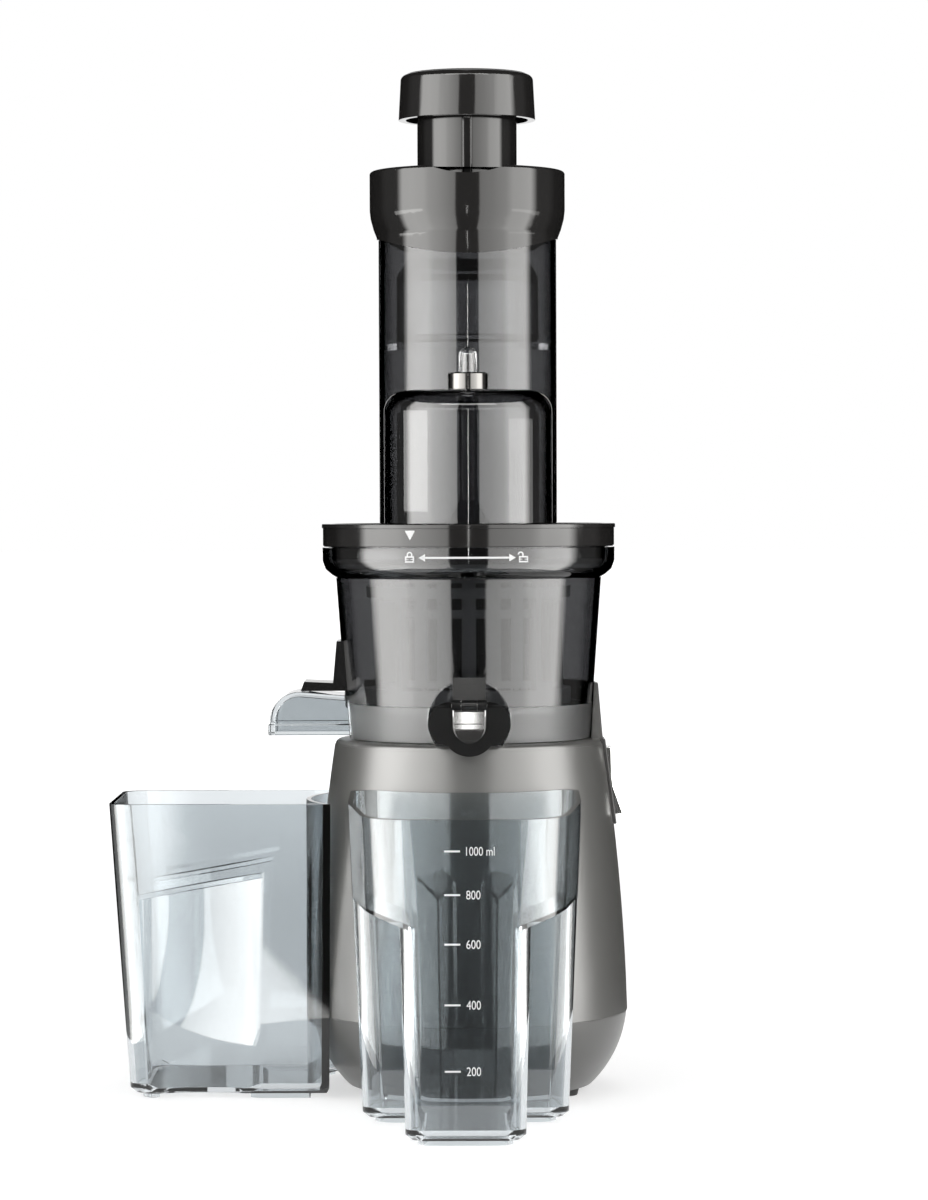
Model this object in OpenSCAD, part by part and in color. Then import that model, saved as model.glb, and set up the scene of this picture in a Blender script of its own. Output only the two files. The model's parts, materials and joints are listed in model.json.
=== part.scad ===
// Cold press juicer: a tapered motor base, a juicing bowl with auger, strainer and wiper, a hopper with
// a wide feed chute and pusher, and the juice jug and pulp bin that stand in front of it and beside it.
// Millimetres. The origin is on the table under the drive axis, +Z is up and the front is -Y.

/* [Base] */
// Radius of the motor base at its widest
base_r = 73.8; // [70:0.2:80]
// Height at which the base is widest
widest_z = 44; // [40:1:50]
// Height of the deck that the bowl stands on
deck_z = 165.2; // [160:0.2:180]
// Radius of the deck edge
deck_r = 62.7; // [61:0.1:66]
// Radius of the long curve of the base's side
side_curve_r = 1040; // [700:10:2000]
// Height of the seam between tray and housing
seam_z = 37.4; // [34:0.2:42]
// Radius of the rounding under the tray
tray_curve_r = 53.7; // [50:0.1:60]
// Wall of the housing and the tray
base_wall = 2.8; // [2.2:0.1:3.4]
// Height of the cradle behind the bowl, above the deck
cradle_h = 26; // [15:1:34]
// Sweep of the cradle round the back, in degrees
cradle_sweep = 158; // [90:1:160]
// Height of the rubber feet
foot_h = 3.5; // [2.5:0.1:5]
// Radius of each rubber foot
foot_r = 6.5; // [5:0.1:6.8]

/* [Drive] */
// Radius of the motor case
motor_r = 36; // [34:0.5:38]
// Height of the motor case
motor_h = 59; // [50:1:62]
// Teeth of each large gear in the gearbox
wheel_teeth = 60; // [48:6:60]
// Teeth of each pinion in the gearbox
pinion_teeth = 12; // [12:1:12]
// Module of the gearbox gears
gear_module = 0.8; // [0.7:0.05:0.8]
// Radius of the drive shaft
shaft_r = 6.4; // [5.5:0.1:7]
// Running clearance of shafts and pins in their bores, on the radius
fit = 0.05; // [0.02:0.01:0.1]

/* [Bowl] */
// Width of the deck left open round the bowl's foot
deck_margin = 5.7; // [5.2:0.1:7]
// Outward lean of the bowl's wall, from its foot to its flange
bowl_flare = 5.3; // [4.5:0.1:6]
// Reach of the flange past the bowl's wall
flange_out = 6.3; // [5.5:0.1:7]
// Wall of the bowl
bowl_wall = 2.7; // [2:0.1:3]
// Height of the foot band, from the deck to the floor of the bowl
foot_band_h = 16.2; // [15:0.2:20]
// Height from the bowl's foot to the underside of its flange
bowl_neck_h = 75; // [72:0.5:84]
// Height of the flange, from its underside to its rim
flange_h = 14.2; // [13:0.2:18]
// Radius of the juice spout
spout_r = 18.7; // [16:0.1:20]
// Reach of the spout past the bowl's wall
spout_out = 13.3; // [12:0.1:16]

/* [Press] */
// Gap between the auger's tip and the strainer mesh
auger_gap = 0.8; // [0.5:0.1:1.5]
// Height of the auger's flights above the strainer floor
auger_flight_h = 66; // [50:1:72]
// Number of flights on the auger
auger_flights = 3; // [2:1:4]
// Room for the wiper and the juice between the strainer and the bowl's wall
strainer_room = 18.3; // [18:0.1:19]
// Number of windows round the strainer frame
strainer_windows = 24; // [16:1:28]
// Width of each strainer window
strainer_window_w = 5; // [3:0.1:6]

/* [Hopper] */
// Outer radius of the dome over the auger
dome_r = 39.5; // [38.5:0.1:42]
// Height of the dome above the lid plate
dome_h = 62.8; // [58:0.2:70]
// Outer radius of the feed chute
chute_r = 42.9; // [41:0.1:45]
// Height of the chute collar's rim above the lid plate
chute_h = 169.5; // [160:0.5:190]
// Distance of the chute's centre line behind the drive axis
chute_y = 53; // [52.6:0.1:60]
// Wall of the hopper
hopper_wall = 2.7; // [2:0.1:3.2]
// Reach of the lid ring past the bowl's flange
lid_ring_out = 0.3; // [0.1:0.1:2]
// Turn of the lid between locked and open, in degrees
lid_turn = 45; // [45:1:45]

/* [Pusher] */
// Radius of the pusher's cap
pusher_cap_r = 33; // [28:0.2:36]
// Height of the pusher's cap
pusher_cap_h = 23.4; // [16:0.2:28]
// Radius of the pusher's neck
pusher_neck_r = 24; // [18:0.2:26]
// Radius of the pusher's body, inside the chute
pusher_body_r = 34.4; // [34:0.2:37]
// Whole height of the pusher
pusher_h = 131.3; // [115:0.1:140]

/* [Jug and bin] */
// Width of the juice jug at its rim
jug_w = 104; // [96:1:112]
// Distance of the jug's front from the drive axis
jug_front = 178; // [168:1:188]
// Gap between the jug's front rim and the spout cap above it
jug_gap = 20.7; // [18:0.1:40]
// Wall of the jug and the bin
tub_wall = 2.2; // [1.6:0.1:2.8]
// Gap between the base and the curved walls of the jug and the bin
tub_gap = 0.7; // [0.5:0.1:4]
// Length of the pulp bin, from the drive axis to its far end
bin_reach = 167; // [150:1:180]
// Depth of the pulp bin at its rim
bin_d = 92; // [80:1:100]
// Height of the pulp bin
bin_h = 137; // [120:1:150]

/* [Hidden] */

// Smoothness of round forms, of the long side curve, and of the faces of a hull
$fn = 96;
curve_fn = 720;
hull_fn = 32;
// Overrun of every cut past the face that it opens
over = 1;
// Clearance between loose pieces that lie on each other
seat = 0.3;
// Clearance between fixed pieces that fit into each other
snug = 0.05;

// Colours
satin_grey = "#8c8b85";
gloss_taupe = "#4c4845";
smoke = "#77797a";
clear_blue = "#b9c4c8";
black = "#232323";
steel = "#c9c9c9";

// Centre of an arc of radius r from a to b, on the left of the way from a to b
function arc_centre(a, b, r) =
  let (half = (b - a) / 2, side = [-half[1], half[0]] / norm(half))
  a + half + side * sqrt(r * r - half * half);

// Outer radius of the base at height z
side_c = arc_centre([base_r, widest_z], [deck_r, deck_z], side_curve_r);
function side_r(z) = side_c[0] + sqrt(pow(side_curve_r, 2) - pow(z - side_c[1], 2));
// Slope of the base's side at height z, in degrees from upright
function side_slope(z) = asin((z - side_c[1]) / side_curve_r);

// Seam and tray
seam_step = 0.4;
seam_chamfer = 0.5;
tray_rise = 4.6;
tray_c = [side_r(seam_z) - seam_step - sqrt(pow(tray_curve_r, 2) - pow(tray_rise, 2)), seam_z + tray_rise];
function tray_r(z) = tray_c[0] + sqrt(pow(tray_curve_r, 2) - pow(tray_c[1] - z, 2));
tray_lip_h = 3;
plate_t = 2.5;
plate_r = 42;
ledge_t = 2.5;
ledge_z = foot_h + plate_t;
ledge_r = 36;
tray_floor_z = ledge_z + ledge_t;
foot_circle_r = 50;
foot_stem_r = 2.4;
foot_turn = 28;
post_count = 4;
post_turn = 45;
screw_circle_r = 39;
screw_r = 1.4;
screw_head_r = 2.8;
screw_head_h = 1.4;
vent_w = 3;
vent_pitch = 8;
vent_circle_r = 31;

// Deck
deck_t = 3;
deck_edge_r = 2.4;
deck_boss_r = 20;
deck_boss_h = 4;
seal_r = 13;
seal_lip_h = deck_boss_h / 2;
cradle_start = -8;
cradle_top_wall = 1.5;
cradle_lean = 0.4;
cradle_sink = 0.3;
cradle_foot_edges = 3;

// Levels of the motor and the gearbox
motor_z = 17;
motor_end_t = 2.4;
motor_wall = 1.4;
bracket_z = motor_z + motor_h;
bracket_t = 3;
bracket_r = 60;
post_r = 4.5;
post_circle_r = 51.5;
case_z = bracket_z + bracket_t;
case_wall = 3;
case_floor_t = 2.5;
gear_gap = 0.7;
wheel_h = 6;
lower_wheel_z = case_z + case_floor_t + gear_gap;
pinion_h = 10;
upper_wheel_z = lower_wheel_z + wheel_h + 2 * gear_gap;
upper_wheel_h = 7.5;
lid_z = upper_wheel_z + upper_wheel_h + 3 * gear_gap;
case_lid_t = 3;
bearing_h = 11;
bearing_wall = 3.6;
pin_r = 2.5;
rotor_shaft_r = 3;
rotor_r = 22.4;
stator_r = motor_r - motor_wall - snug;
stator_gap = 0.6;
wheel_pitch_r = wheel_teeth * gear_module / 2;
pinion_pitch_r = pinion_teeth * gear_module / 2;
gear_y = wheel_pitch_r + pinion_pitch_r;
gear_slack = 0.16;
wheel_tip_r = wheel_pitch_r + gear_module;
pinion_tip_r = pinion_pitch_r + gear_module;
case_r = wheel_tip_r + gear_gap;
pressure_angle = 25;

// Power switch on the right side of the base
switch_z = 145;
switch_half_y = 10.5;
switch_half_z = 20;
switch_depth = 4;
switch_frame = 2.3;
switch_stand = 0.8;
rocker_axis_depth = 2.6;
rocker_half_z = 16;
rocker_top_stand = 3.3;
rocker_mid_stand = 1.8;
rocker_low_stand = 4.6;
rocker_back = 4.6;
rocker_pin_r = 1.6;
rocker_gap = 0.5;
switch_body_depth = 22;
switch_body_inset = 1.4;

// Board and cord inlet
board_t = 1.6;
board_x = -47;
board_w = 44;
board_h = 38;
board_foot_h = 5;
board_foot_w = 6;
gland_z = 22;
gland_r = 6;
gland_bore_r = 3.6;
gland_l = 13;
gland_flange_r = 7.4;
gland_flange_t = 2;

// Radii of the bowl, each from the one below it
bowl_foot_r = deck_r - deck_margin;
bowl_neck_r = bowl_foot_r + bowl_flare;
flange_r = bowl_neck_r + flange_out;
lid_ring_r = flange_r + lid_ring_out;
spout_reach = bowl_neck_r + spout_out;
strainer_r = bowl_neck_r - strainer_room;
strainer_wall = 2;
mesh_t = 0.5;
auger_tip_r = strainer_r - strainer_wall - mesh_t - auger_gap;

// Levels of the bowl
bowl_lift_gap = 0.6;
bowl_z = deck_z + bowl_lift_gap;
floor_z = bowl_z + foot_band_h;
floor_t = 3;
neck_z = bowl_z + bowl_neck_h;
rim_z = neck_z + flange_h;
flange_curve_h = 8;
step_t = 2;
step_z = neck_z + step_t;
rim_step = (flange_r - bowl_neck_r) / 2;
flange_shares = [[0.35, 0.18], [0.78, 0.5]];
rim_wall = 2.7;
bowl_hole_r = 14;
foot_ring_wall = 2.4;
foot_hoop_h = 3;
// Outer radius of the bowl at height z
function bowl_r(z) = bowl_foot_r + (bowl_neck_r - bowl_foot_r) * (z - bowl_z) / bowl_neck_h;

// Spout and its cap
spout_up = 11.2;
spout_z = bowl_z + spout_up;
spout_bore_r = 8.2;
spout_bore_drop = 0.4;
drain_in = 11;
drain_y = bowl_foot_r - drain_in;
drain_r = 6.5;
bracket_w = 15;
bracket_depth = 4.2;
bracket_rise = 19.9;
bracket_top_z = spout_z + bracket_rise;
hinge_rise = 7.5;
hinge_out = 3.8;
hinge_z = spout_z + hinge_rise;
hinge_y = -spout_reach - hinge_out;
hinge_pin_r = 1.2;
hinge_pin_end = 0.5;
hinge_knuckle_r = 2.4;
hinge_knuckle_w = 7;
hinge_side_gap = 0.25;
cap_gap = 0.4;
cap_t = 4.2;
cap_lobe_r = 9.9;
cap_lobe_x = 8.8;
cap_lobe_drop = 1;
cap_chin_r = 12.2;
cap_chin_drop = 3.5;
plug_l = 3;
plug_r = 7.5;
plug_tip_r = 5.8;
tab_w = 15;
tab_h = 14.6;
tab_t = 1.6;

// Pulp way on the left
duct_half_y = 8;
duct_wall = 1.5;
duct_shares = [0.545, 0.84];
duct_in_x = strainer_r * duct_shares[0];
duct_out_x = strainer_r * duct_shares[1];
passage_half_y = 10;
passage_wall = 1.8;
chute_half_y = 17;
chute_wall = 2.2;
pulp_rise = 22;
pulp_foot_gap = 1.8;
pulp_top_z = bowl_z + pulp_rise;
pulp_bottom_z = bowl_z + pulp_foot_gap;
pulp_out = 36;
pulp_reach = bowl_foot_r + pulp_out;
pulp_round_r = 14;
pulp_slope_h = 4.2;
pulp_lip_h = 5;
pulp_lip_out = 0.7;
packing_t = 2;
packing_frame = 2.6;
hood_half_y = 14;
hood_rise = 45.5;
hood_foot_out = 5.7;
hood_ledge_h = 2.4;
hood_top_z = bowl_z + hood_rise;
hood_out = 20;
hood_reach = bowl_foot_r + hood_out;
hood_t = 1.6;

// Gears, strainer and wiper
sun_teeth = 24;
idler_teeth = 16;
ring_teeth = sun_teeth + 2 * idler_teeth;
wiper_module = 2 * (strainer_r - strainer_wall) / ring_teeth;
gear_tip_share = 0.95;
sun_tip_r = (sun_teeth / 2 + gear_tip_share) * wiper_module;
idler_y = (sun_teeth + idler_teeth) * wiper_module / 2;
wiper_slack = 0.3;
press_gear_gap = 1.6;
press_gear_z = floor_z + press_gear_gap;
press_gear_h = 5.6;
idler_pin_r = 3;
idler_boss_h = 1;
strainer_gap = 1.2;
strainer_z = press_gear_z + press_gear_h + strainer_gap;
strainer_floor_t = 2.2;
strainer_rim_t = 2;
strainer_window_h = 29;
strainer_band_h = 4;
strainer_foot_h = 1;
strainer_window_z = strainer_z + strainer_floor_t + strainer_foot_h;
wiper_gap = 1;
wiper_t = 3;
wiper_head_gap = 4;
wiper_in_r = strainer_r + wiper_gap;
wiper_out_r = wiper_in_r + wiper_t;
wiper_top_z = neck_z - wiper_head_gap;
wiper_ring_h = 5;
wiper_post_w = 9;
wiper_posts = 4;
blade_t = 2;
blade_gap = 0.4;
blade_foot_h = 3;
blade_z = strainer_z + blade_foot_h;

// Auger
auger_neck_r = 9;
auger_neck_l = 10.4;
auger_hub_gap = 0.4;
auger_hub_edge = 0.9;
auger_hub_r = sun_tip_r + auger_hub_edge;
strainer_hole_r = auger_hub_r + auger_hub_gap;
auger_floor_gap = 0.5;
auger_z = strainer_z + strainer_floor_t + auger_floor_gap;
auger_shaft_r = 4.25;
auger_core_shares = [[1, 0], [1.02, 0.12], [0.92, 0.45], [0.72, 0.75], [0.46, 1], [0.29, 1.15], [0.142,
  1.27]];
auger_core_depth = 10.7;
auger_core_r = auger_tip_r - auger_core_depth;
flight_turn = 330;
flight_steps = 36;
flight_root_t = 4.6;
flight_tip_t = 2.2;
flight_sink = 2;
flight_end_in = 7.7;
flight_end_r = auger_tip_r - flight_end_in;
flight_taper_from = 0.55;
hex_gap = 0.1;
hex_lead = 0.2;
hex_reach = 8;
hex_z = deck_z + deck_boss_h + seal_lip_h + hex_lead;
hex_top_z = auger_z + hex_reach;

// Lid, dome and chute
plate_gap = 0.4;
lid_ring_h = 10.6;
lid_ring_z = rim_z + plate_gap;
lid_plate_t = 3.4;
lid_plate_sink = 0.4;
lid_plate_z = lid_ring_z + lid_ring_h - lid_plate_t - lid_plate_sink;
lid_top_z = lid_plate_z + lid_plate_t;
lid_skirt_gap = 1.7;
lid_skirt_r = flange_r - rim_wall - lid_skirt_gap;
lid_skirt_t = 2.2;
lug_t = 1.8;
lug_sweep = 30;
lug_count = 4;
lug_drop = 4.2;
lug_reach = 1.4;
lug_hold = 0.9;
catch_t = 2.2;
skirt_foot_h = 0.6;
lug_z = rim_z - lug_drop;
lug_tip_r = lid_skirt_r + lug_reach;
catch_z = rim_z - catch_t;
catch_in_r = lug_tip_r - lug_hold;
skirt_z = lug_z - skirt_foot_h;
dome_round_r = 10;
dome_top_z = lid_top_z + dome_h;
chute_rim_z = lid_top_z + chute_h;
collar_lip_h = 15;
chute_top_z = chute_rim_z - collar_lip_h;
slope_foot_y = lid_skirt_r - seat;
slope_angle = 54.5;
chute_foot_z = lid_ring_z + lid_ring_h + seat;
stop_t = 3;
stop_w = 8;
stop_count = 3;
boss_r = 9.6;
boss_h = 8.4;
boss_gap = 0.4;
boss_lip = 0.8;
knob_r = 4.3;
knob_h = 12.2;
knob_wall = 1.3;
core_foot_r = 2.9;
core_top_r = 2.2;
collar_out = 4.2;
collar_r = chute_r + collar_out;
collar_h = 41.5;
collar_side_h = 32;
collar_taper_h = 19;
collar_low_wall = 0.8;
collar_shares = [[0.45, 0.3], [0.85, 0.68]];
collar_dip_r = 114;
collar_scoop_r = 46;
collar_scoop_h = 4;

// Pusher
pusher_rise = 48.1;
pusher_z = chute_rim_z + pusher_rise - pusher_h;
pusher_round_r = 4;
stop_in_r = pusher_body_r - pusher_round_r;
pusher_side_h = 32;
pusher_slope_h = 12;
pusher_fillet = 3;
pusher_shoulder_z = pusher_z + pusher_side_h;
pusher_neck_z = pusher_shoulder_z + pusher_slope_h;
pusher_wall = 2.6;
cap_rim_z = pusher_z + pusher_h - pusher_cap_h;
cap_crown = 1.6;
cap_taper = 1;
cap_top_r = pusher_cap_r - cap_taper;
crown_shares = [[1, 1], [0.72, 0.4], [0.36, 0.1], [0, 0]];
cap_round_r = 3;
pusher_rib_w = 3.8;
pusher_rib_t = 0.9;
neck_top_z = cap_rim_z + pusher_cap_h / 2;

// Jug
jug_h = spout_z - cap_chin_drop - cap_chin_r - jug_gap;
jug_x = -2.2;
jug_back_y = 62;
jug_back_r = 5;
jug_side_r = 20;
jug_front_r = 22;
jug_front_taper = 6;
jug_draft = 6;
jug_front_draft = 1.5;
jug_block_half_w = 26;
jug_block_flare = 2.4;
jug_block_lap = 12;
jug_block_r = 7;
jug_wing_front = 112;
jug_wing_r = 8;
jug_shoulder_z = 94;
jug_shoulder_roll = 22;
jug_shoulder_pitch = 2;
jug_rim_rise = 4.6;
jug_rim_tilt = atan(jug_rim_rise / (jug_front - jug_back_y));
tub_curve_r = base_r + tub_gap;
tub_foot_h = 2.6;
tub_foot_inset = 5.5;
tub_edge = 2.5;

// Bin
bin_front = 38;
bin_corner_r = 9;
bin_draft = 9;
bin_side_draft = 2;
bin_inner_x = 58;
bin_scoop_r = 60;
bin_scoop_x = -124;
bin_scoop_depth = 8;
bin_scoop_z = 98;
bin_scoop_tilt = 10;

// A ring from its bottom height
module ring(r_out, r_in, z, h) {
  translate([0, 0, z]) difference() {
    cylinder(r = r_out, h = h);
    translate([0, 0, -over]) cylinder(r = r_in, h = h + 2 * over);
  }
}

// A disc on the drive axis, from its bottom height
module disc(r, z, h) {
  translate([0, 0, z]) cylinder(r = r, h = h);
}

// Children extruded upwards from a height
module raised(z, h) {
  translate([0, 0, z]) linear_extrude(height = h) children();
}

// Its children, repeated round the drive axis
module around(count, start = 0) {
  for (i = [0:count - 1]) rotate([0, 0, start + i * 360 / count]) children();
}

// Cutter that rounds the upper outer corner of a profile
module round_corner(corner, r) {
  translate(corner - [r, r]) difference() {
    square([r + over, r + over]);
    circle(r = r);
  }
}

// Part of a disc between two heights, in a profile with its axis at x = 0
module profile_band(z0, z1, reach) {
  translate([0, z0]) square([reach, z1 - z0]);
}

// Half the angle that a gear tooth covers at radius r, in degrees
function tooth_half(teeth, pitch_r, slack, r) =
  let (base = pitch_r * cos(pressure_angle), turn = r > base ? acos(base / r) : 0)
  90 / teeth - slack / pitch_r * 90 / PI
  + (tan(pressure_angle) - tan(turn)) * 180 / PI - pressure_angle + turn;

// Outline of a gear with a tooth centred on the X axis, turned by a share of one tooth
module gear_outline(teeth, gear_mod, root_r, tip_r, slack, tooth_share = 0) {
  pitch_r = teeth * gear_mod / 2;
  base = pitch_r * cos(pressure_angle);
  radii = root_r < base ? [root_r, base, pitch_r, tip_r] : [root_r, pitch_r, tip_r];
  last = len(radii) - 1;
  function at(tooth, i, side) =
    let (a = 360 * (tooth + tooth_share) / teeth
      + side * tooth_half(teeth, pitch_r, slack, max(radii[i], base)))
    radii[i] * [cos(a), sin(a)];
  polygon([for (tooth = [0:teeth - 1]) each concat(
    [for (i = [0:last]) at(tooth, i, -1)],
    [for (i = [last:-1:0]) at(tooth, i, 1)])]);
}

// A gear for the gearbox, with its bore
module gearbox_gear(teeth, h, bore, tooth_share = 0) {
  pitch_r = teeth * gear_module / 2;
  difference() {
    linear_extrude(height = h) gear_outline(teeth, gear_module, pitch_r - 1.25 * gear_module,
      pitch_r + gear_module, gear_slack, tooth_share);
    disc(bore, -over, h + 2 * over);
  }
}

// Outline of the housing's outside, grown inwards by a wall
module side_outline(wall, z0, z1) {
  intersection() {
    profile_band(z0, z1, 1.1 * base_r);
    translate(side_c) circle(r = side_curve_r - wall, $fn = curve_fn);
  }
}

// Outline of the tray's outside, grown inwards by a wall
module tray_outline(wall, z0, z1) {
  intersection() {
    profile_band(z0, z1, 1.1 * base_r);
    translate(tray_c) circle(r = tray_curve_r - wall, $fn = curve_fn);
  }
}

// Places its children at the power switch, with X pointing out of the base and Z up its side
module at_switch() {
  translate([side_r(switch_z), 0, switch_z]) rotate([0, -side_slope(switch_z), 0]) children();
}

// A block centred in Y, from x0 to x1 and z0 to z1
module slab(x0, x1, half_y, z0, z1) {
  translate([x0, -half_y, z0]) cube([x1 - x0, 2 * half_y, z1 - z0]);
}

// Extrudes an XZ outline along Y, centred
module along_y(half_y) {
  rotate([90, 0, 0]) linear_extrude(height = 2 * half_y, center = true) children();
}

// Its children, at each of the four feet
module at_feet() {
  for (a = [foot_turn, -foot_turn, 180 + foot_turn, 180 - foot_turn])
    rotate([0, 0, a]) translate([foot_circle_r, 0, 0]) children();
}

module base_housing() {
  cradle_z = deck_z - cradle_foot_edges * deck_edge_r;
  cradle_top = deck_z + cradle_h;
  cradle_out = bowl_r(cradle_top) + cradle_lean + cradle_top_wall;
  color(satin_grey) difference() {
    union() {
      rotate_extrude() difference() {
        side_outline(0, seam_z, deck_z);
        round_corner([deck_r, deck_z], deck_edge_r);
        translate([side_r(seam_z), seam_z]) circle(r = seam_chamfer);
      }
      disc(deck_boss_r, deck_z - deck_t / 2, deck_t / 2 + deck_boss_h);
      rotate([0, 0, cradle_start]) rotate_extrude(angle = cradle_sweep) {
        difference() {
          polygon([[bowl_r(bowl_z) + cradle_lean, cradle_z], [side_r(cradle_z) - cradle_sink,
            cradle_z],
            [cradle_out, cradle_top], [cradle_out - cradle_top_wall, cradle_top]]);
          round_corner([cradle_out, cradle_top], cradle_top_wall / 2);
        }
      }
    }
    rotate_extrude() side_outline(base_wall, seam_z - over, deck_z - deck_t);
    disc(seal_r, deck_z - deck_t - over, deck_t + deck_boss_h + 2 * over);
    at_switch() translate([-4 * switch_depth, -switch_half_y - snug, -switch_half_z - snug])
      cube([6 * switch_depth, 2 * (switch_half_y + snug), 2 * (switch_half_z + snug)]);
  }
}

module base_tray() {
  lip_r = side_r(seam_z + tray_lip_h) - base_wall - snug;
  color(satin_grey) difference() {
    union() {
      rotate_extrude() difference() {
        tray_outline(0, foot_h, seam_z);
        tray_outline(base_wall, tray_floor_z, seam_z + over);
      }
      ring(lip_r, lip_r - base_wall, seam_z - tray_lip_h, 2 * tray_lip_h);
    }
    disc(plate_r + snug, foot_h - over, plate_t + over);
    disc(ledge_r, foot_h - over, plate_t + ledge_t + 2 * over);
    at_feet() disc(foot_stem_r + snug, foot_h - over, plate_t + over);
    around(post_count, post_turn)
      translate([screw_circle_r, 0, ledge_z - over]) cylinder(r = screw_r + snug,
        h = ledge_t + 2 * over);
    translate([0, 0, gland_z]) rotate([-90, 0, 0]) cylinder(r = gland_r + snug, h = base_r + over);
  }
}

module base_plate() {
  vents = floor(vent_circle_r / vent_pitch);
  color(black) difference() {
    disc(plate_r, foot_h, plate_t);
    for (i = [-vents:vents]) {
      half = sqrt(pow(vent_circle_r, 2) - pow(i * vent_pitch, 2));
      translate([-half, i * vent_pitch - vent_w / 2, foot_h - over]) cube([2 * half, vent_w,
        plate_t + 2 * over]);
    }
    around(post_count, post_turn) translate([screw_circle_r, 0, 0]) {
      disc(screw_head_r + snug, foot_h - over, screw_head_h + over);
      disc(screw_r + snug, foot_h, plate_t + over);
    }
  }
}

module feet() {
  color(black) at_feet() {
    cylinder(r1 = foot_r - foot_h / 4, r2 = foot_r, h = foot_h);
    cylinder(r = foot_stem_r, h = foot_h + plate_t - snug);
  }
}

module base_screws() {
  color(steel) around(post_count, post_turn)
    translate([screw_circle_r, 0, foot_h]) {
      cylinder(r = screw_head_r, h = screw_head_h);
      cylinder(r = screw_r, h = plate_t + ledge_t - snug);
    }
}

module drive_seal() {
  color(black) difference() {
    union() {
      disc(seal_r - snug, deck_z - deck_t, deck_t + deck_boss_h);
      translate([0, 0, deck_z + deck_boss_h])
        cylinder(r1 = seal_r - snug, r2 = shaft_r + seal_lip_h, h = seal_lip_h);
    }
    disc(shaft_r + fit, deck_z - deck_t - over, deck_t + deck_boss_h + seal_lip_h + 2 * over);
  }
}

module motor_can() {
  slots = 6;
  slot_w = motor_r / 6;
  color(steel) difference() {
    disc(motor_r, motor_z, motor_h);
    disc(motor_r - motor_wall, motor_z + motor_end_t, motor_h - 2 * motor_end_t);
    disc(rotor_shaft_r + fit, motor_z - over, motor_h + 2 * over);
    around(slots)
      translate([motor_r / 3, -slot_w / 2, motor_z - over]) cube([motor_r / 2, slot_w,
        motor_h + 2 * over]);
  }
}

module stator() {
  slots = 8;
  slot_w = 4;
  stator_z = motor_z + motor_h / 4;
  stator_in_r = rotor_r + stator_gap;
  color("#b0713c") difference() {
    ring(stator_r, stator_in_r, stator_z, motor_h / 2);
    around(slots, 180 / slots)
      translate([stator_in_r - over, -slot_w / 2, stator_z - over])
        cube([(stator_r - stator_in_r) / 2 + over, slot_w, motor_h / 2 + 2 * over]);
  }
}

module motor_bracket() {
  color("#9b9b9b") difference() {
    union() {
      disc(bracket_r, bracket_z, bracket_t);
      around(post_count, post_turn)
        translate([post_circle_r, 0, tray_floor_z]) cylinder(r = post_r,
          h = bracket_z - tray_floor_z + bracket_t / 2);
      for (side = [-1, 1]) translate([board_x - board_foot_w / 2,
        side * (board_w / 2 - board_foot_w) - board_foot_w / 2, bracket_z + bracket_t / 2])
        cube([board_foot_w, board_foot_w, bracket_t / 2 + board_foot_h]);
    }
    disc(pinion_tip_r + bracket_t, bracket_z - over, bracket_t + 2 * over);
    translate([board_x - board_t / 2 - snug, -board_w, bracket_z + bracket_t])
      cube([board_t + 2 * snug, 2 * board_w, board_foot_h + over]);
  }
}

// Outline of the gearbox, grown by a wall
module case_outline(wall) {
  circle(r = case_r + wall);
  translate([0, gear_y]) circle(r = case_r + wall);
  translate([-case_r - wall, 0]) square([2 * (case_r + wall), gear_y]);
}

module gearbox_case() {
  color("#a9a9a4") difference() {
    raised(case_z, lid_z - case_z) case_outline(case_wall);
    raised(case_z + case_floor_t, lid_z - case_z) case_outline(0);
    disc(pinion_tip_r + gear_gap, case_z - over, case_floor_t + 2 * over);
    translate([0, gear_y, case_z - over]) cylinder(r = pin_r + snug, h = case_floor_t + 2 * over);
  }
}

module gearbox_lid() {
  color("#a9a9a4") difference() {
    union() {
      raised(lid_z, case_lid_t) case_outline(case_wall);
      disc(shaft_r + 2 * bearing_wall, lid_z, bearing_h);
    }
    disc(shaft_r + bearing_wall + snug, lid_z - over, bearing_h + 2 * over);
    translate([0, gear_y, lid_z - over]) cylinder(r = pin_r + snug, h = case_lid_t + 2 * over);
  }
}

module gear_pin() {
  color(steel) translate([0, gear_y, case_z]) cylinder(r = pin_r, h = lid_z + case_lid_t - case_z);
}

module output_bearing() {
  color("#b08d57") ring(shaft_r + bearing_wall, shaft_r + fit, lid_z, bearing_h);
}

module switch_bezel() {
  window_z = switch_half_z - switch_frame;
  window_y = switch_half_y - switch_frame;
  pin_depth = switch_depth - rocker_axis_depth;
  color(black) at_switch() difference() {
    translate([-switch_depth, -switch_half_y, -switch_half_z])
      cube([switch_depth + switch_stand, 2 * switch_half_y, 2 * switch_half_z]);
    translate([-switch_depth - over, -window_y, -window_z])
      cube([switch_depth + switch_stand + 2 * over, 2 * window_y, 2 * window_z]);
    translate([-rocker_axis_depth, -switch_half_y - over, 0]) rotate([-90, 0, 0])
      cylinder(r = rocker_pin_r + fit, h = 2 * (switch_half_y + over));
    translate([-switch_depth - over, -switch_half_y - over, -rocker_pin_r - fit])
      cube([pin_depth + over, 2 * (switch_half_y + over), 2 * (rocker_pin_r + fit)]);
  }
}

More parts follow.
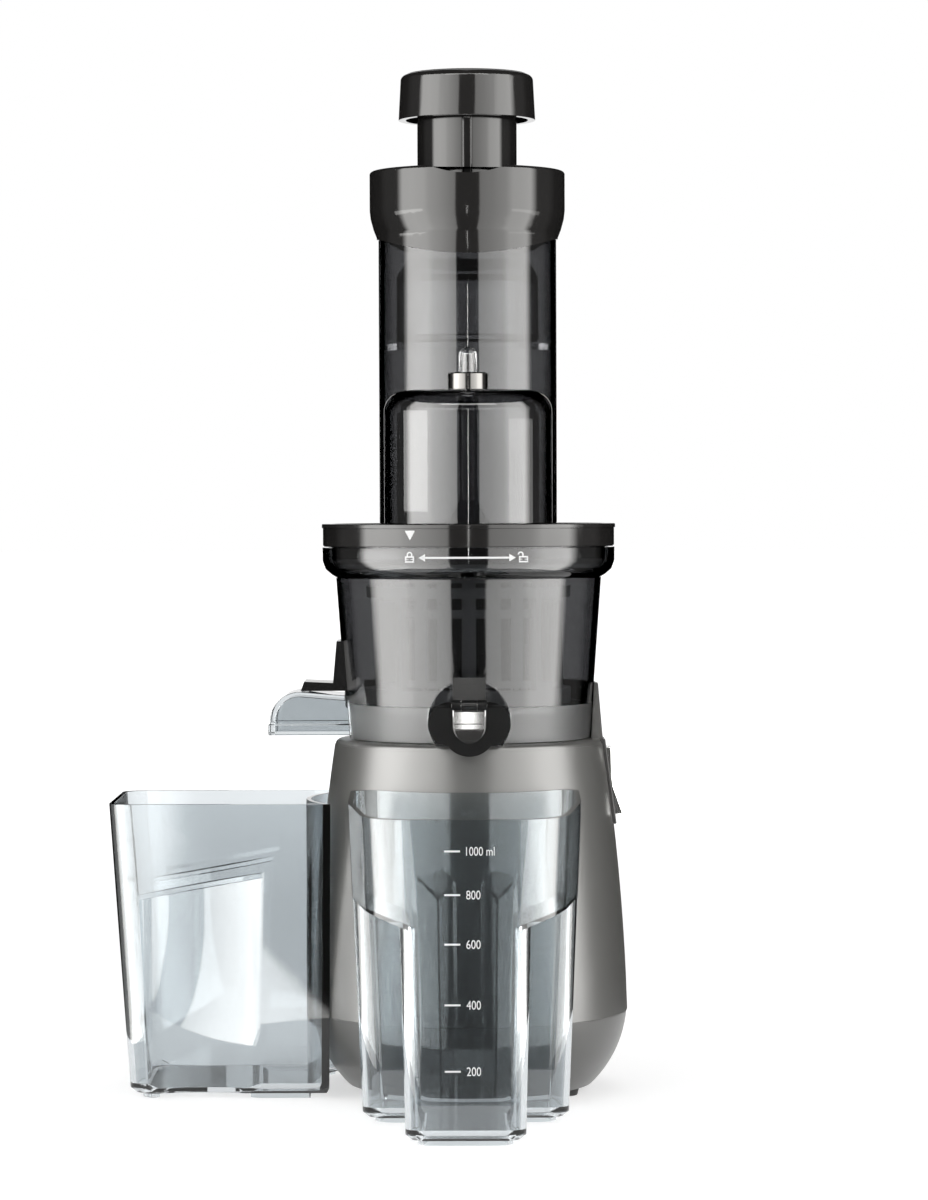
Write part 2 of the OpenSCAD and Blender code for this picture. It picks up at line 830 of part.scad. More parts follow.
module switch_body() {
  depth = switch_depth + rocker_back;
  blade_w = 6;
  blade_t = 0.8;
  blade_l = 7;
  color(black) at_switch() {
    difference() {
      translate([-depth - switch_body_depth, -switch_half_y + switch_body_inset,
        -switch_half_z + switch_body_inset])
        cube([switch_body_depth + rocker_back - seat, 2 * (switch_half_y - switch_body_inset),
          2 * (switch_half_z - switch_body_inset)]);
      translate([-depth, -switch_half_y + switch_frame, -switch_half_z + switch_frame])
        cube([rocker_back + over, 2 * (switch_half_y - switch_frame),
          2 * (switch_half_z - switch_frame)]);
    }
    for (i = [-1:1]) translate([-depth - switch_body_depth - blade_l, -blade_w / 2,
      i * rocker_half_z / 2 - blade_t / 2])
      cube([blade_l + over, blade_w, blade_t]);
  }
}

module power_board() {
  foot_z = bracket_z + bracket_t;
  color("#2f6b3c") translate([board_x - board_t / 2, -board_w / 2, foot_z]) cube([board_t, board_w,
    board_h]);
  color("#1d1d1d") translate([board_x + board_t / 2, -board_w / 3, foot_z + board_h / 2]) {
    cube([board_h / 5, board_w / 4, board_h / 3]);
    translate([0, board_w / 3, 0]) cube([board_h / 8, board_w / 4, board_h / 4]);
  }
}

module cord_gland() {
  out_y = tray_r(gland_z) + gland_flange_t;
  in_y = tray_r(gland_z - gland_flange_r) - 1.3 * base_wall;
  color(black) translate([0, 0, gland_z]) difference() {
    union() {
      translate([0, out_y, 0]) rotate([90, 0, 0]) cylinder(r = gland_r, h = gland_l);
      translate([0, in_y, 0]) rotate([90, 0, 0]) cylinder(r = gland_flange_r, h = gland_flange_t);
    }
    translate([0, out_y + over, 0]) rotate([90, 0, 0]) cylinder(r = gland_bore_r,
      h = gland_l + 2 * over);
  }
}

module drive_shaft() {
  journal_z = upper_wheel_z - gear_gap;
  color(steel) {
    disc(shaft_r, journal_z, hex_z - journal_z);
    disc(shaft_r, hex_z - over, hex_top_z - hex_z + over, $fn = 6);
  }
}

module output_gear() {
  color("#d9d2c0") translate([0, 0, upper_wheel_z]) rotate([0, 0, 90])
    gearbox_gear(wheel_teeth, upper_wheel_h, shaft_r + snug);
}

module compound_gear() {
  hub_z = lower_wheel_z + wheel_h;
  color("#d9d2c0") translate([0, gear_y, 0]) rotate([0, 0, -90]) {
    translate([0, 0, lower_wheel_z]) gearbox_gear(wheel_teeth, wheel_h, pin_r + fit, 0.5);
    translate([0, 0, hub_z]) gearbox_gear(pinion_teeth, pinion_h, pin_r + fit, 0.5);
  }
}

module rotor() {
  flutes = 8;
  shaft_z = ledge_z + ledge_t;
  color("#8f6a3a") difference() {
    ring(rotor_r, rotor_shaft_r, motor_z + motor_h / 4, motor_h / 2);
    around(flutes) translate([rotor_r, 0, motor_z]) cylinder(r = rotor_r / 12, h = motor_h);
  }
  color(steel) disc(rotor_shaft_r, shaft_z, lower_wheel_z + wheel_h - shaft_z);
}

module motor_pinion() {
  color(steel) translate([0, 0, lower_wheel_z]) rotate([0, 0, 90])
    gearbox_gear(pinion_teeth, wheel_h, rotor_shaft_r + snug);
}

module cooling_fan() {
  fan_z = tray_floor_z + gear_gap;
  fan_h = motor_z - fan_z - gear_gap;
  blades = 11;
  blade = 1.2;
  blade_lean = 12;
  hub = 7;
  fan_gap = 4;
  reach = ledge_r - fan_gap;
  color(black) translate([0, 0, fan_z]) difference() {
    union() {
      cylinder(r = hub, h = fan_h);
      disc(reach, fan_h - blade, blade);
      around(blades)
        translate([hub - over, 0, 0]) rotate([0, 0, blade_lean]) cube([reach - 2 * hub, blade,
          fan_h]);
    }
    disc(rotor_shaft_r, -over, fan_h + 2 * over);
  }
}

module switch_rocker() {
  half_y = switch_half_y - switch_frame - rocker_gap;
  back_z = rocker_half_z * 0.55;
  color(steel) at_switch() {
    along_y(half_y) polygon([[rocker_top_stand, rocker_half_z], [rocker_mid_stand, rocker_half_z / 6],
      [rocker_mid_stand, -rocker_half_z / 6], [rocker_low_stand, -rocker_half_z],
      [-switch_depth / 2, -rocker_half_z], [-rocker_back, -back_z], [-rocker_back, back_z],
      [-switch_depth / 2, rocker_half_z]]);
    translate([-rocker_axis_depth, 0, 0]) rotate([-90, 0, 0])
      cylinder(r = rocker_pin_r, h = 2 * (switch_half_y - switch_frame / 2), center = true);
  }
}

// Outside of the bowl as a profile, from its floor to its rim
module bowl_profile() {
  polygon([[0, floor_z - floor_t], [bowl_foot_r - foot_ring_wall - snug, floor_z - floor_t],
    [bowl_foot_r - foot_ring_wall - snug, floor_z], [bowl_r(floor_z), floor_z], [bowl_neck_r, neck_z],
    for (p = flange_shares) [bowl_neck_r + p[0] * (flange_r - bowl_neck_r),
      neck_z + p[1] * flange_curve_h],
    [flange_r, neck_z + flange_curve_h], [flange_r, rim_z], [0, rim_z]]);
}

// Inside of the bowl as a profile
module bowl_cavity(shrink = 0) {
  wall = bowl_wall + shrink;
  polygon([[0, floor_z], [bowl_r(floor_z) - wall, floor_z], [bowl_r(step_z) - wall, step_z],
    [flange_r - rim_wall - shrink, step_z + rim_step],
    [flange_r - rim_wall - shrink, rim_z + over], [0, rim_z + over]]);
}

// Outside of the spout: a round tube with a flat underside
module spout_outline(grow = 0) {
  intersection() {
    circle(r = spout_r + grow);
    translate([-2 * spout_r, bowl_z - spout_z]) square([4 * spout_r, 3 * spout_r]);
  }
}

module juicing_bowl() {
  spout_start = bowl_foot_r - 2 * foot_ring_wall;
  bore_z = spout_z - spout_bore_drop;
  pass_z0 = bowl_z + passage_wall;
  pass_z1 = floor_z - floor_t;
  color(smoke) difference() {
    union() {
      difference() {
        union() {
          rotate_extrude() bowl_profile();
          translate([0, -spout_start, spout_z]) rotate([90, 0, 0])
            linear_extrude(height = spout_reach - spout_start) spout_outline();
        }
        rotate_extrude() bowl_cavity();
      }
      translate([-spout_bore_r - passage_wall, -spout_start - over, bowl_z])
        cube([2 * (spout_bore_r + passage_wall),
          spout_start - drain_y + drain_r + passage_wall + over, pass_z1 - bowl_z + over]);
      slab(-bowl_foot_r + foot_ring_wall, -duct_in_x + duct_wall, passage_half_y + passage_wall,
        bowl_z, pass_z1 + over);
      slab(-duct_out_x - duct_wall, -duct_in_x + duct_wall, duct_half_y + duct_wall, floor_z - over,
        strainer_z - seat);
      around(lug_count, 180 / lug_count - lug_sweep / 2)
        rotate_extrude(angle = lug_sweep) polygon([[catch_in_r, catch_z],
          [flange_r - rim_wall + over, catch_z],
          [flange_r - rim_wall + over, rim_z - seat], [catch_in_r, rim_z - seat]]);
      translate([0, idler_y, floor_z - floor_t / 2]) cylinder(r = 2 * idler_pin_r,
        h = floor_t / 2 + idler_boss_h);
    }
    disc(bowl_hole_r, bowl_z, floor_z);
    translate([0, -drain_y + drain_r, bore_z]) rotate([90, 0, 0])
      cylinder(r = spout_bore_r, h = spout_reach);
    translate([0, -drain_y, bore_z]) cylinder(r = drain_r, h = floor_z);
    slab(-bowl_foot_r - over, -duct_in_x, passage_half_y, pass_z0, pass_z1);
    slab(-duct_out_x, -duct_in_x, duct_half_y, pass_z0, strainer_z + over);
    translate([0, idler_y, floor_z - floor_t - over]) cylinder(r = idler_pin_r + snug, h = 2 * floor_t);
  }
}

module bowl_foot_ring() {
  ring_in = bowl_foot_r - foot_ring_wall;
  color("#9d9f9d") difference() {
    rotate_extrude() polygon([[ring_in, bowl_z], [bowl_foot_r, bowl_z], [bowl_r(floor_z), floor_z],
      [ring_in, floor_z]]);
    translate([0, -spout_reach, spout_z]) rotate([-90, 0, 0]) cylinder(r = spout_r + snug,
      h = spout_reach);
    slab(-2 * bowl_foot_r, 0, passage_half_y + passage_wall + snug, bowl_z - over,
      floor_z - floor_t + over + snug);
  }
}

module bowl_seal() {
  lip = 1.2;
  color(black) difference() {
    union() {
      disc(bowl_hole_r - snug, floor_z - floor_t - lip, floor_t + lip);
      disc(bowl_hole_r + lip, floor_z - floor_t - lip, lip);
    }
    disc(auger_neck_r + fit, floor_z - floor_t - 2 * lip, floor_t + 4 * lip);
  }
}

module spout_bracket() {
  half_w = bracket_w / 2;
  back_y = -spout_reach;
  leg_z = hinge_z + hinge_knuckle_r;
  bar_h = 1.6;
  color(black) difference() {
    union() {
      translate([-half_w, back_y - bracket_depth, leg_z]) cube([bracket_w, bracket_depth,
        bracket_top_z - leg_z]);
      translate([-half_w, back_y - bracket_depth, spout_z + spout_r])
        cube([bracket_w, 2 * bracket_depth, bracket_top_z - spout_z - spout_r]);
      translate([-hinge_knuckle_w / 2, back_y - bracket_depth, hinge_z]) cube([hinge_knuckle_w,
        bracket_depth - cap_gap, leg_z - hinge_z + over]);
      translate([0, hinge_y, hinge_z]) rotate([0, 90, 0]) cylinder(r = hinge_knuckle_r,
        h = hinge_knuckle_w, center = true);
    }
    translate([0, hinge_y, hinge_z]) rotate([0, 90, 0]) cylinder(r = hinge_pin_r + snug,
      h = bracket_w, center = true);
    translate([-half_w - over, back_y - bracket_depth - over, bracket_top_z - 2 * bar_h])
      cube([bracket_w + 2 * over, over + bar_h / 4, bar_h]);
  }
}

module cap_hinge_pin() {
  color(steel) translate([0, hinge_y, hinge_z]) rotate([0, 90, 0]) cylinder(r = hinge_pin_r,
    h = bracket_w + 2 * hinge_pin_end, center = true);
}

// Side outline of the pulp chute, in X and Z, with its outer walls moved in by a wall
module pulp_outline(wall) {
  round_x = -pulp_reach + pulp_round_r;
  round_z = pulp_top_z - pulp_round_r;
  intersection() {
    union() {
      translate([round_x, round_z]) circle(r = pulp_round_r - wall);
      polygon([[-pulp_reach + wall, pulp_bottom_z - over], [-pulp_reach + wall, round_z], [round_x,
        round_z],
        [round_x, pulp_top_z - wall], [-bowl_foot_r / 2, pulp_top_z - pulp_slope_h - wall],
        [-bowl_foot_r / 2, pulp_bottom_z - over]]);
    }
    translate([-2 * pulp_reach, pulp_bottom_z - (wall > 0 ? over : 0)]) square([2 * pulp_reach,
      pulp_top_z]);
  }
}

module pulp_chute() {
  color(clear_blue) difference() {
    union() {
      along_y(chute_half_y) pulp_outline(0);
      slab(-pulp_reach - pulp_lip_out, -bowl_foot_r / 2, chute_half_y + pulp_lip_out, pulp_bottom_z,
        pulp_bottom_z + pulp_lip_h);
    }
    along_y(chute_half_y - chute_wall) pulp_outline(chute_wall);
    translate([0, 0, bowl_z - over]) cylinder(r1 = bowl_foot_r + snug, r2 = bowl_r(hood_top_z) + snug,
      h = hood_top_z - bowl_z + over);
  }
}

module pulp_hood() {
  foot_x = bowl_foot_r + hood_foot_out;
  shelf_z = pulp_top_z + hood_ledge_h;
  color(black) difference() {
    along_y(hood_half_y) polygon([[-bowl_r(hood_top_z) + hood_t, hood_top_z],
      [-bowl_r(hood_top_z) - hood_t, hood_top_z],
      [-foot_x - hood_t / 2, shelf_z + hood_t], [-hood_reach, shelf_z + 1.4 * hood_t],
      [-hood_reach - hood_t, pulp_top_z + seat], [-bowl_foot_r / 2, pulp_top_z + seat],
        [-bowl_foot_r / 2, hood_top_z]]);
    along_y(hood_half_y - hood_t) polygon([[-foot_x + hood_t, shelf_z], [-hood_reach + hood_t, shelf_z],
      [-hood_reach + hood_t, pulp_top_z - over], [-bowl_foot_r / 2, pulp_top_z - over],
        [-bowl_foot_r / 2, shelf_z]]);
    translate([0, 0, bowl_z]) cylinder(r1 = bowl_foot_r + snug, r2 = bowl_r(hood_top_z) + snug,
      h = hood_top_z - bowl_z);
    disc(bowl_r(hood_top_z) + snug, hood_top_z - snug, over);
  }
}

module pulp_packing() {
  x0 = -bowl_foot_r + foot_ring_wall;
  z0 = bowl_z + passage_wall;
  z1 = floor_z - floor_t;
  color(black) difference() {
    slab(x0, x0 + packing_t, passage_half_y - snug, z0 + snug, z1 - snug);
    slab(x0 - over, x0 + packing_t + over, passage_half_y - packing_frame, z0 + packing_frame,
      z1 - packing_frame);
  }
}

module idler_pin() {
  head = 1;
  top_z = press_gear_z + press_gear_h + seat;
  color(steel) translate([0, idler_y, floor_z - floor_t]) {
    cylinder(r = idler_pin_r, h = top_z - floor_z + floor_t);
    disc(idler_pin_r + head, top_z - floor_z + floor_t - snug, head * 0.6);
  }
}

module strainer_frame() {
  rim_r = flange_r - rim_wall - snug;
  upper_z = strainer_window_z + strainer_window_h + strainer_band_h;
  upper_h = step_z - upper_z - strainer_band_h;
  rim_foot_z = step_z + rim_step;
  color("#8e9192") difference() {
    union() {
      ring(strainer_r, strainer_r - strainer_wall, strainer_z, step_z - strainer_z);
      disc(strainer_r, strainer_z, strainer_floor_t);
      rotate_extrude() polygon([[strainer_r - strainer_wall, step_z + seat - strainer_rim_t],
        [strainer_r, step_z + seat - strainer_rim_t],
        [bowl_r(step_z) - bowl_wall - seat, step_z + seat], [rim_r - seat, rim_foot_z + seat],
        [rim_r - seat, rim_foot_z + strainer_rim_t], [strainer_r - strainer_wall,
          rim_foot_z + strainer_rim_t]]);
    }
    disc(strainer_hole_r, strainer_z - over, strainer_floor_t + 2 * over);
    slab(-duct_out_x, -duct_in_x, duct_half_y, strainer_z - over, strainer_z + strainer_floor_t + over);
    around(strainer_windows, 180 / strainer_windows) {
      translate([strainer_r - 2 * strainer_wall, -strainer_window_w / 2, strainer_window_z])
        cube([3 * strainer_wall, strainer_window_w, strainer_window_h]);
      translate([strainer_r - 2 * strainer_wall, -strainer_window_w / 2, upper_z])
        cube([3 * strainer_wall, strainer_window_w, upper_h]);
    }
  }
}

module strainer_mesh() {
  mesh_r = strainer_r - strainer_wall - snug;
  mesh_z = strainer_z + strainer_floor_t;
  color(steel) ring(mesh_r, mesh_r - mesh_t, mesh_z, step_z - mesh_z);
}

// Outline of a press gear with its tooth centred on the X axis
module press_gear_outline(teeth, tooth_share = 0) {
  pitch_r = teeth * wiper_module / 2;
  gear_outline(teeth, wiper_module, pitch_r - 1.2 * wiper_module,
    pitch_r + gear_tip_share * wiper_module, wiper_slack, tooth_share);
}

module idler_gear() {
  color("#e3e0d6") translate([0, idler_y, press_gear_z]) rotate([0, 0, 90]) difference() {
    linear_extrude(height = press_gear_h) press_gear_outline(idler_teeth, 0.5);
    disc(idler_pin_r + fit, -over, press_gear_h + 2 * over);
  }
}

module wiper_frame() {
  ring_pitch_r = ring_teeth * wiper_module / 2;
  foot_z = floor_z + seat;
  post_z = press_gear_z + press_gear_h;
  color("#a3a6a6") {
    difference() {
      union() {
        raised(foot_z, post_z - foot_z) difference() {
          circle(r = wiper_out_r);
          rotate([0, 0, 90]) gear_outline(ring_teeth, wiper_module,
            ring_pitch_r - 0.9 * wiper_module,
            ring_pitch_r + 1.2 * wiper_module, -wiper_slack, 0.5);
        }
        ring(wiper_out_r, wiper_in_r, wiper_top_z - wiper_ring_h, wiper_ring_h);
        intersection() {
          ring(wiper_out_r, wiper_in_r, post_z - over, wiper_top_z - post_z);
          around(wiper_posts, 45)
            translate([0, -wiper_post_w / 2, post_z - over]) cube([2 * wiper_out_r,
              wiper_post_w, wiper_top_z - post_z]);
        }
      }
      around(wiper_posts, 45)
        translate([0, -blade_t / 2 - snug, blade_z - snug]) cube([2 * wiper_out_r,
          blade_t + 2 * snug, wiper_top_z - wiper_ring_h - blade_z - over]);
    }
  }
}

module wiper_blades() {
  blade_h = wiper_top_z - wiper_ring_h - blade_z - over - 2 * snug;
  color(black) intersection() {
    around(wiper_posts, 45)
      translate([strainer_r + blade_gap, -blade_t / 2, blade_z]) cube([bowl_r(neck_z) - strainer_r,
        blade_t, blade_h]);
    rotate_extrude() bowl_cavity(blade_gap);
  }
}

// Radius of the auger's core at a share of the flights' height
function core_r(share) = auger_core_r * lookup(share, [for (p = auger_core_shares) [p[1], p[0]]]);

// Radius of the auger's tip at a share of the flights' height
function tip_r(share) = share < flight_taper_from ? auger_tip_r
  : auger_tip_r - (auger_tip_r - flight_end_r) * (share - flight_taper_from) / (1 - flight_taper_from);

// One helical flight: rings of four points, from root to tip and back
module flight(turn) {
  function station(i) =
    let (s = i / flight_steps, a = turn + flight_turn * s,
      z = auger_z + flight_root_t / 2 + over / 2 + s * (auger_flight_h - flight_root_t),
      root = core_r(s) - flight_sink, grow = min(1, 0.15 + 4 * s, 0.15 + 4 * (1 - s)),
      tip = root + (tip_r(s) - root) * grow)
    [for (p = [[root, -flight_root_t / 2], [tip, -flight_tip_t / 2], [tip, flight_tip_t / 2], [root,
      flight_root_t / 2]])
      [p[0] * cos(a), p[0] * sin(a), z + p[1]]];
  points = [for (i = [0:flight_steps]) each station(i)];
  sides = [for (i = [0:flight_steps - 1], k = [0:3])
    let (a = 4 * i + k, b = 4 * i + (k + 1) % 4) each [[a, b, b + 4], [a, b + 4, a + 4]]];
  last = 4 * flight_steps;
  ends = [[0, 2, 1], [0, 3, 2], [last, last + 1, last + 2], [last, last + 2, last + 3]];
  polyhedron(points, concat(sides, ends));
}

module auger() {
  shaft_top_z = dome_top_z + boss_h - hopper_wall;
  hub_z = press_gear_z + press_gear_h + strainer_gap / 2;
  core_points = [for (p = auger_core_shares) [auger_core_r * p[0], auger_z + auger_flight_h * p[1]]];
  color("#5b5148") difference() {
    union() {
      rotate_extrude() polygon(concat([[0, auger_z]], core_points, [[0,
        auger_z + auger_flight_h * 1.3]]));
      disc(auger_shaft_r, auger_z, shaft_top_z - auger_z);
      for (i = [0:auger_flights - 1]) flight(i * 360 / auger_flights);
      disc(auger_hub_r, hub_z, auger_z - hub_z + over);
      translate([0, 0, press_gear_z]) rotate([0, 0, 90])
        linear_extrude(height = hub_z - press_gear_z + over) press_gear_outline(sun_teeth);
      disc(auger_neck_r, floor_z - auger_neck_l, auger_neck_l + auger_z - floor_z);
    }
    translate([0, 0, floor_z - auger_neck_l - over]) cylinder(r = shaft_r + hex_gap,
      h = hex_top_z + hex_gap - floor_z + auger_neck_l + 2 * over, $fn = 6);
  }
}

module spout_cap() {
  back_y = -spout_reach - cap_gap;
  hinge_half = bracket_w / 2 + cap_gap;
  ear_w = hinge_half - hinge_knuckle_w / 2 - hinge_side_gap;
  color(black) difference() {
    union() {
      translate([0, back_y, 0]) rotate([90, 0, 0]) linear_extrude(height = cap_t) difference() {
        union() {
          for (side = [-1, 1]) translate([side * cap_lobe_x, spout_z - cap_lobe_drop])
            circle(r = cap_lobe_r);
          translate([-cap_lobe_x, spout_z - cap_lobe_drop - cap_lobe_r]) square([2 * cap_lobe_x,
            2 * cap_lobe_r]);
          translate([0, spout_z - cap_chin_drop]) circle(r = cap_chin_r);
        }
        translate([-hinge_half, hinge_z - hinge_knuckle_r - cap_gap]) square([2 * hinge_half,
          4 * hinge_knuckle_r]);
      }
      for (side = [-1, 1])
        translate([side * (hinge_knuckle_w / 2 + hinge_side_gap + hinge_half) / 2, hinge_y, hinge_z]) {
        rotate([0, 90, 0]) cylinder(r = hinge_knuckle_r, h = ear_w, center = true);
        translate([-ear_w / 2, back_y - cap_t - hinge_y, -hinge_knuckle_r - over])
          cube([ear_w, hinge_y + hinge_knuckle_r - snug - back_y + cap_t,
            hinge_knuckle_r + over]);
      }
    }
    translate([0, hinge_y, hinge_z]) rotate([0, 90, 0]) cylinder(r = hinge_pin_r + fit,
      h = 2 * bracket_w, center = true);
  }
}

module spout_seal() {
  color("#3a3a3a") translate([0, -spout_reach - cap_gap, spout_z - spout_bore_drop]) rotate([-90, 0, 0])
    cylinder(r1 = plug_r, r2 = plug_tip_r, h = plug_l + cap_gap);
}

module cap_tab() {
  front_y = -spout_reach - cap_gap - cap_t;
  half = tab_w / 2;
  top_z = hinge_z - hinge_knuckle_r - cap_gap / 2;
  color(gloss_taupe) translate([0, front_y, 0]) rotate([90, 0, 0]) linear_extrude(height = tab_t) {
    translate([0, top_z - tab_h + half]) circle(r = half);
    translate([-half, top_z - tab_h + half]) square([tab_w, tab_h - half]);
  }
}

// Everything on the chute's side of the sloped floor at the back of the hopper, moved in by a wall
module above_slope(wall) {
  reach = 2 * chute_h;
  translate([0, slope_foot_y, lid_ring_z + lid_ring_h]) rotate([slope_angle, 0, 0])
    translate([-reach / 2, -reach, wall]) cube([reach, 2 * reach, 2 * reach]);
}

// The dome as a profile, moved in by a wall
module dome_profile(wall, z0) {
  r = dome_r - wall;
  top = dome_top_z - wall;
  round_r = dome_round_r - wall / 2;
  difference() {
    profile_band(z0, top, r);
    round_corner([r, top], round_r);
  }
}

// Room that the dome, the chute and the way between them leave for fruit
module hopper_cavity(z0) {
  difference() {
    intersection() {
      translate([0, chute_y, z0]) cylinder(r = chute_r - hopper_wall, h = chute_rim_z - z0);
      above_slope(hopper_wall);
    }
    ring(2 * chute_y, lid_skirt_r - lid_skirt_t, z0 - over, chute_foot_z + hopper_wall - z0 + over);
  }
  rotate_extrude() dome_profile(hopper_wall, z0 - over);
}

module lid_plate() {
  color(smoke) difference() {
    union() {
      disc(lid_skirt_r, lid_plate_z, lid_plate_t);
      ring(lid_skirt_r, lid_skirt_r - lid_skirt_t, skirt_z, lid_plate_z - skirt_z + over);
      around(lug_count, 180 / lug_count - lug_sweep / 2)
        rotate_extrude(angle = lug_sweep) translate([lid_skirt_r - lid_skirt_t / 2, lug_z])
          square([lug_tip_r - lid_skirt_r + lid_skirt_t / 2, lug_t]);
    }
    disc(dome_r - hopper_wall, lid_plate_z - over, lid_plate_t + 2 * over);
    hopper_cavity(lid_top_z);
  }
}

module hopper() {
  stop_z = pusher_z - seat - stop_t;
  color(smoke) difference() {
    union() {
      difference() {
        union() {
          rotate_extrude() dome_profile(0, lid_top_z);
          difference() {
            intersection() {
              translate([0, chute_y, lid_top_z]) cylinder(r = chute_r,
                h = chute_top_z - lid_top_z);
              above_slope(0);
            }
            ring(2 * chute_y, lid_skirt_r, lid_top_z - over, chute_foot_z - lid_top_z + over);
          }
        }
        hopper_cavity(lid_top_z);
      }
      translate([0, chute_y, stop_z]) intersection() {
        ring(chute_r - hopper_wall / 2, stop_in_r, 0, stop_t);
        around(stop_count, 90) translate([0, -stop_w / 2, 0]) cube([chute_r, stop_w, stop_t]);
      }
    }
    disc(auger_shaft_r + fit, dome_top_z - 2 * hopper_wall, 4 * hopper_wall);
  }
}

module lid_ring() {
  lip = 0.5;
  lip_h = 2;
  in_r = lid_skirt_r + snug;
  top = lid_ring_z + lid_ring_h;
  color(gloss_taupe) rotate_extrude() difference() {
    union() {
      translate([in_r, lid_ring_z]) square([lid_ring_r - lip - in_r, lid_ring_h]);
      translate([in_r, top - lip_h]) square([lid_ring_r - in_r, lip_h]);
    }
    round_corner([lid_ring_r, top], lip);
    translate([lid_ring_r - lip, lid_ring_z]) rotate(45) square([lip, 2 * lip], center = true);
  }
}

module lid_gasket() {
  foot_z = step_z + rim_step + strainer_rim_t + seat;
  color("#4a4a4a") ring(lid_skirt_r, lid_skirt_r - lid_skirt_t, foot_z, skirt_z - foot_z);
}

module pivot_boss() {
  z0 = dome_top_z;
  color(gloss_taupe) difference() {
    union() {
      disc(boss_r - boss_lip, z0, boss_h);
      disc(boss_r, z0 + boss_gap, boss_h - 2 * boss_gap);
    }
    disc(auger_shaft_r + fit, z0 - over, boss_h - hopper_wall + seat + over);
  }
}

module pivot_cap() {
  z0 = dome_top_z + boss_h;
  color("white") difference() {
    union() {
      disc(knob_r, z0, knob_h - knob_r);
      translate([0, 0, z0 + knob_h - knob_r]) sphere(r = knob_r);
    }
    disc(core_foot_r + snug, z0 - over, over + snug);
    translate([0, 0, z0]) cylinder(r1 = core_foot_r + snug, r2 = core_top_r + snug,
      h = knob_h - knob_wall - knob_r / 2);
  }
}

module pivot_core() {
  z0 = dome_top_z + boss_h;
  color(black) translate([0, 0, z0]) cylinder(r1 = core_foot_r, r2 = core_top_r,
    h = knob_h - knob_wall - knob_r / 2 - seat);
}

module chute_collar() {
  z0 = chute_rim_z - collar_h;
  low_r = chute_r + collar_low_wall;
  side_z = chute_rim_z - collar_side_h;
  taper_z = chute_rim_z - collar_taper_h;
  dip_z = z0 + collar_dip_r;
  color(gloss_taupe) translate([0, chute_y, 0]) difference() {
    rotate_extrude() difference() {
      polygon([[0, z0], [low_r, z0], [low_r, side_z],
        for (p = collar_shares) [low_r + p[0] * (collar_r - low_r),
          side_z + p[1] * (taper_z - side_z)],
        [collar_r, taper_z], [collar_r, chute_rim_z], [0, chute_rim_z]]);
      round_corner([collar_r, chute_rim_z], cap_crown);
    }
    disc(chute_r + snug, z0 - over, chute_top_z - z0 + over + snug);
    translate([0, 0, chute_top_z]) cylinder(r1 = chute_r - hopper_wall, r2 = chute_r,
      h = chute_rim_z - chute_top_z);
    disc(chute_r, chute_rim_z - snug, over);
    difference() {
      translate([-2 * chute_r, -2 * chute_r, z0 - over]) cube([4 * chute_r, 4 * chute_r,
        side_z - z0 + over]);
      translate([0, 0, dip_z]) rotate([90, 0, 0]) cylinder(r = collar_dip_r, h = 6 * chute_r,
        center = true, $fn = curve_fn);
    }
    translate([0, -chute_r, chute_rim_z + collar_scoop_r - collar_scoop_h]) rotate([90, 0, 0])
      cylinder(r = collar_scoop_r, h = chute_r, center = true);
  }
}

module pusher_cap() {
  top_z = pusher_z + pusher_h;
  color(gloss_taupe) translate([0, chute_y, 0]) difference() {
    rotate_extrude() difference() {
      polygon([[0, cap_rim_z], [pusher_cap_r, cap_rim_z], [cap_top_r,
        top_z - cap_crown - cap_round_r],
        for (p = crown_shares) [cap_top_r * p[0], top_z - cap_crown * p[1]]]);
      round_corner([cap_top_r, top_z - cap_crown], cap_round_r);
    }
    disc(cap_top_r - pusher_wall, cap_rim_z - over, pusher_cap_h / 2 + over);
  }
}

module pusher_body() {
  neck_in = pusher_neck_r - pusher_wall;
  body_in = pusher_body_r - pusher_wall;
  floor_t = pusher_wall * 1.5;
  color(gloss_taupe) translate([0, chute_y, 0]) difference() {
    union() {
      rotate_extrude() difference() {
        polygon([[0, pusher_z], [pusher_body_r - pusher_round_r, pusher_z],
          [pusher_body_r - 0.3 * pusher_round_r, pusher_z + 0.3 * pusher_round_r],
          [pusher_body_r, pusher_z + pusher_round_r], [pusher_body_r, pusher_shoulder_z],
            [pusher_neck_r + pusher_fillet, pusher_neck_z],
          [pusher_neck_r, pusher_neck_z + pusher_fillet], [pusher_neck_r, neck_top_z], [neck_in,
            neck_top_z], [neck_in, pusher_neck_z],
          [body_in, pusher_shoulder_z - pusher_wall], [body_in, pusher_z + pusher_round_r], [0,
            pusher_z + floor_t]]);
      }
      translate([-pusher_rib_w / 2, -pusher_neck_r - pusher_rib_t, pusher_neck_z + pusher_fillet])
        cube([pusher_rib_w, 2 * pusher_rib_t, neck_top_z - pusher_neck_z - pusher_fillet]);
    }
  }
}

// Two circles whose outsides lie a half width from the middle
module corner_pair(half_w, r, y) {
  for (side = [-1, 1]) translate([side * (half_w - r), y]) circle(r = r, $fn = hull_fn);
}

// A drafted body from three plans: its top, above its soft bottom edge and its bottom
module tub_hull(foot_z, top_z) {
  hull() {
    raised(top_z, tub_wall) children(0);
    raised(foot_z + tub_edge, snug) children(1);
    raised(foot_z, snug) children(2);
  }
}

// Plan of the jug, moved in by an inset: wings beside the base and a rounded front
module jug_plan(inset, draft, front_draft) {
  half_w = jug_w / 2 - inset - draft;
  hull() {
    corner_pair(half_w, jug_back_r, -jug_back_y - inset - jug_back_r);
    corner_pair(half_w, jug_side_r, -jug_wing_front);
    corner_pair(half_w - jug_front_taper, jug_front_r, -jug_front + inset + front_draft + jug_front_r);
  }
}

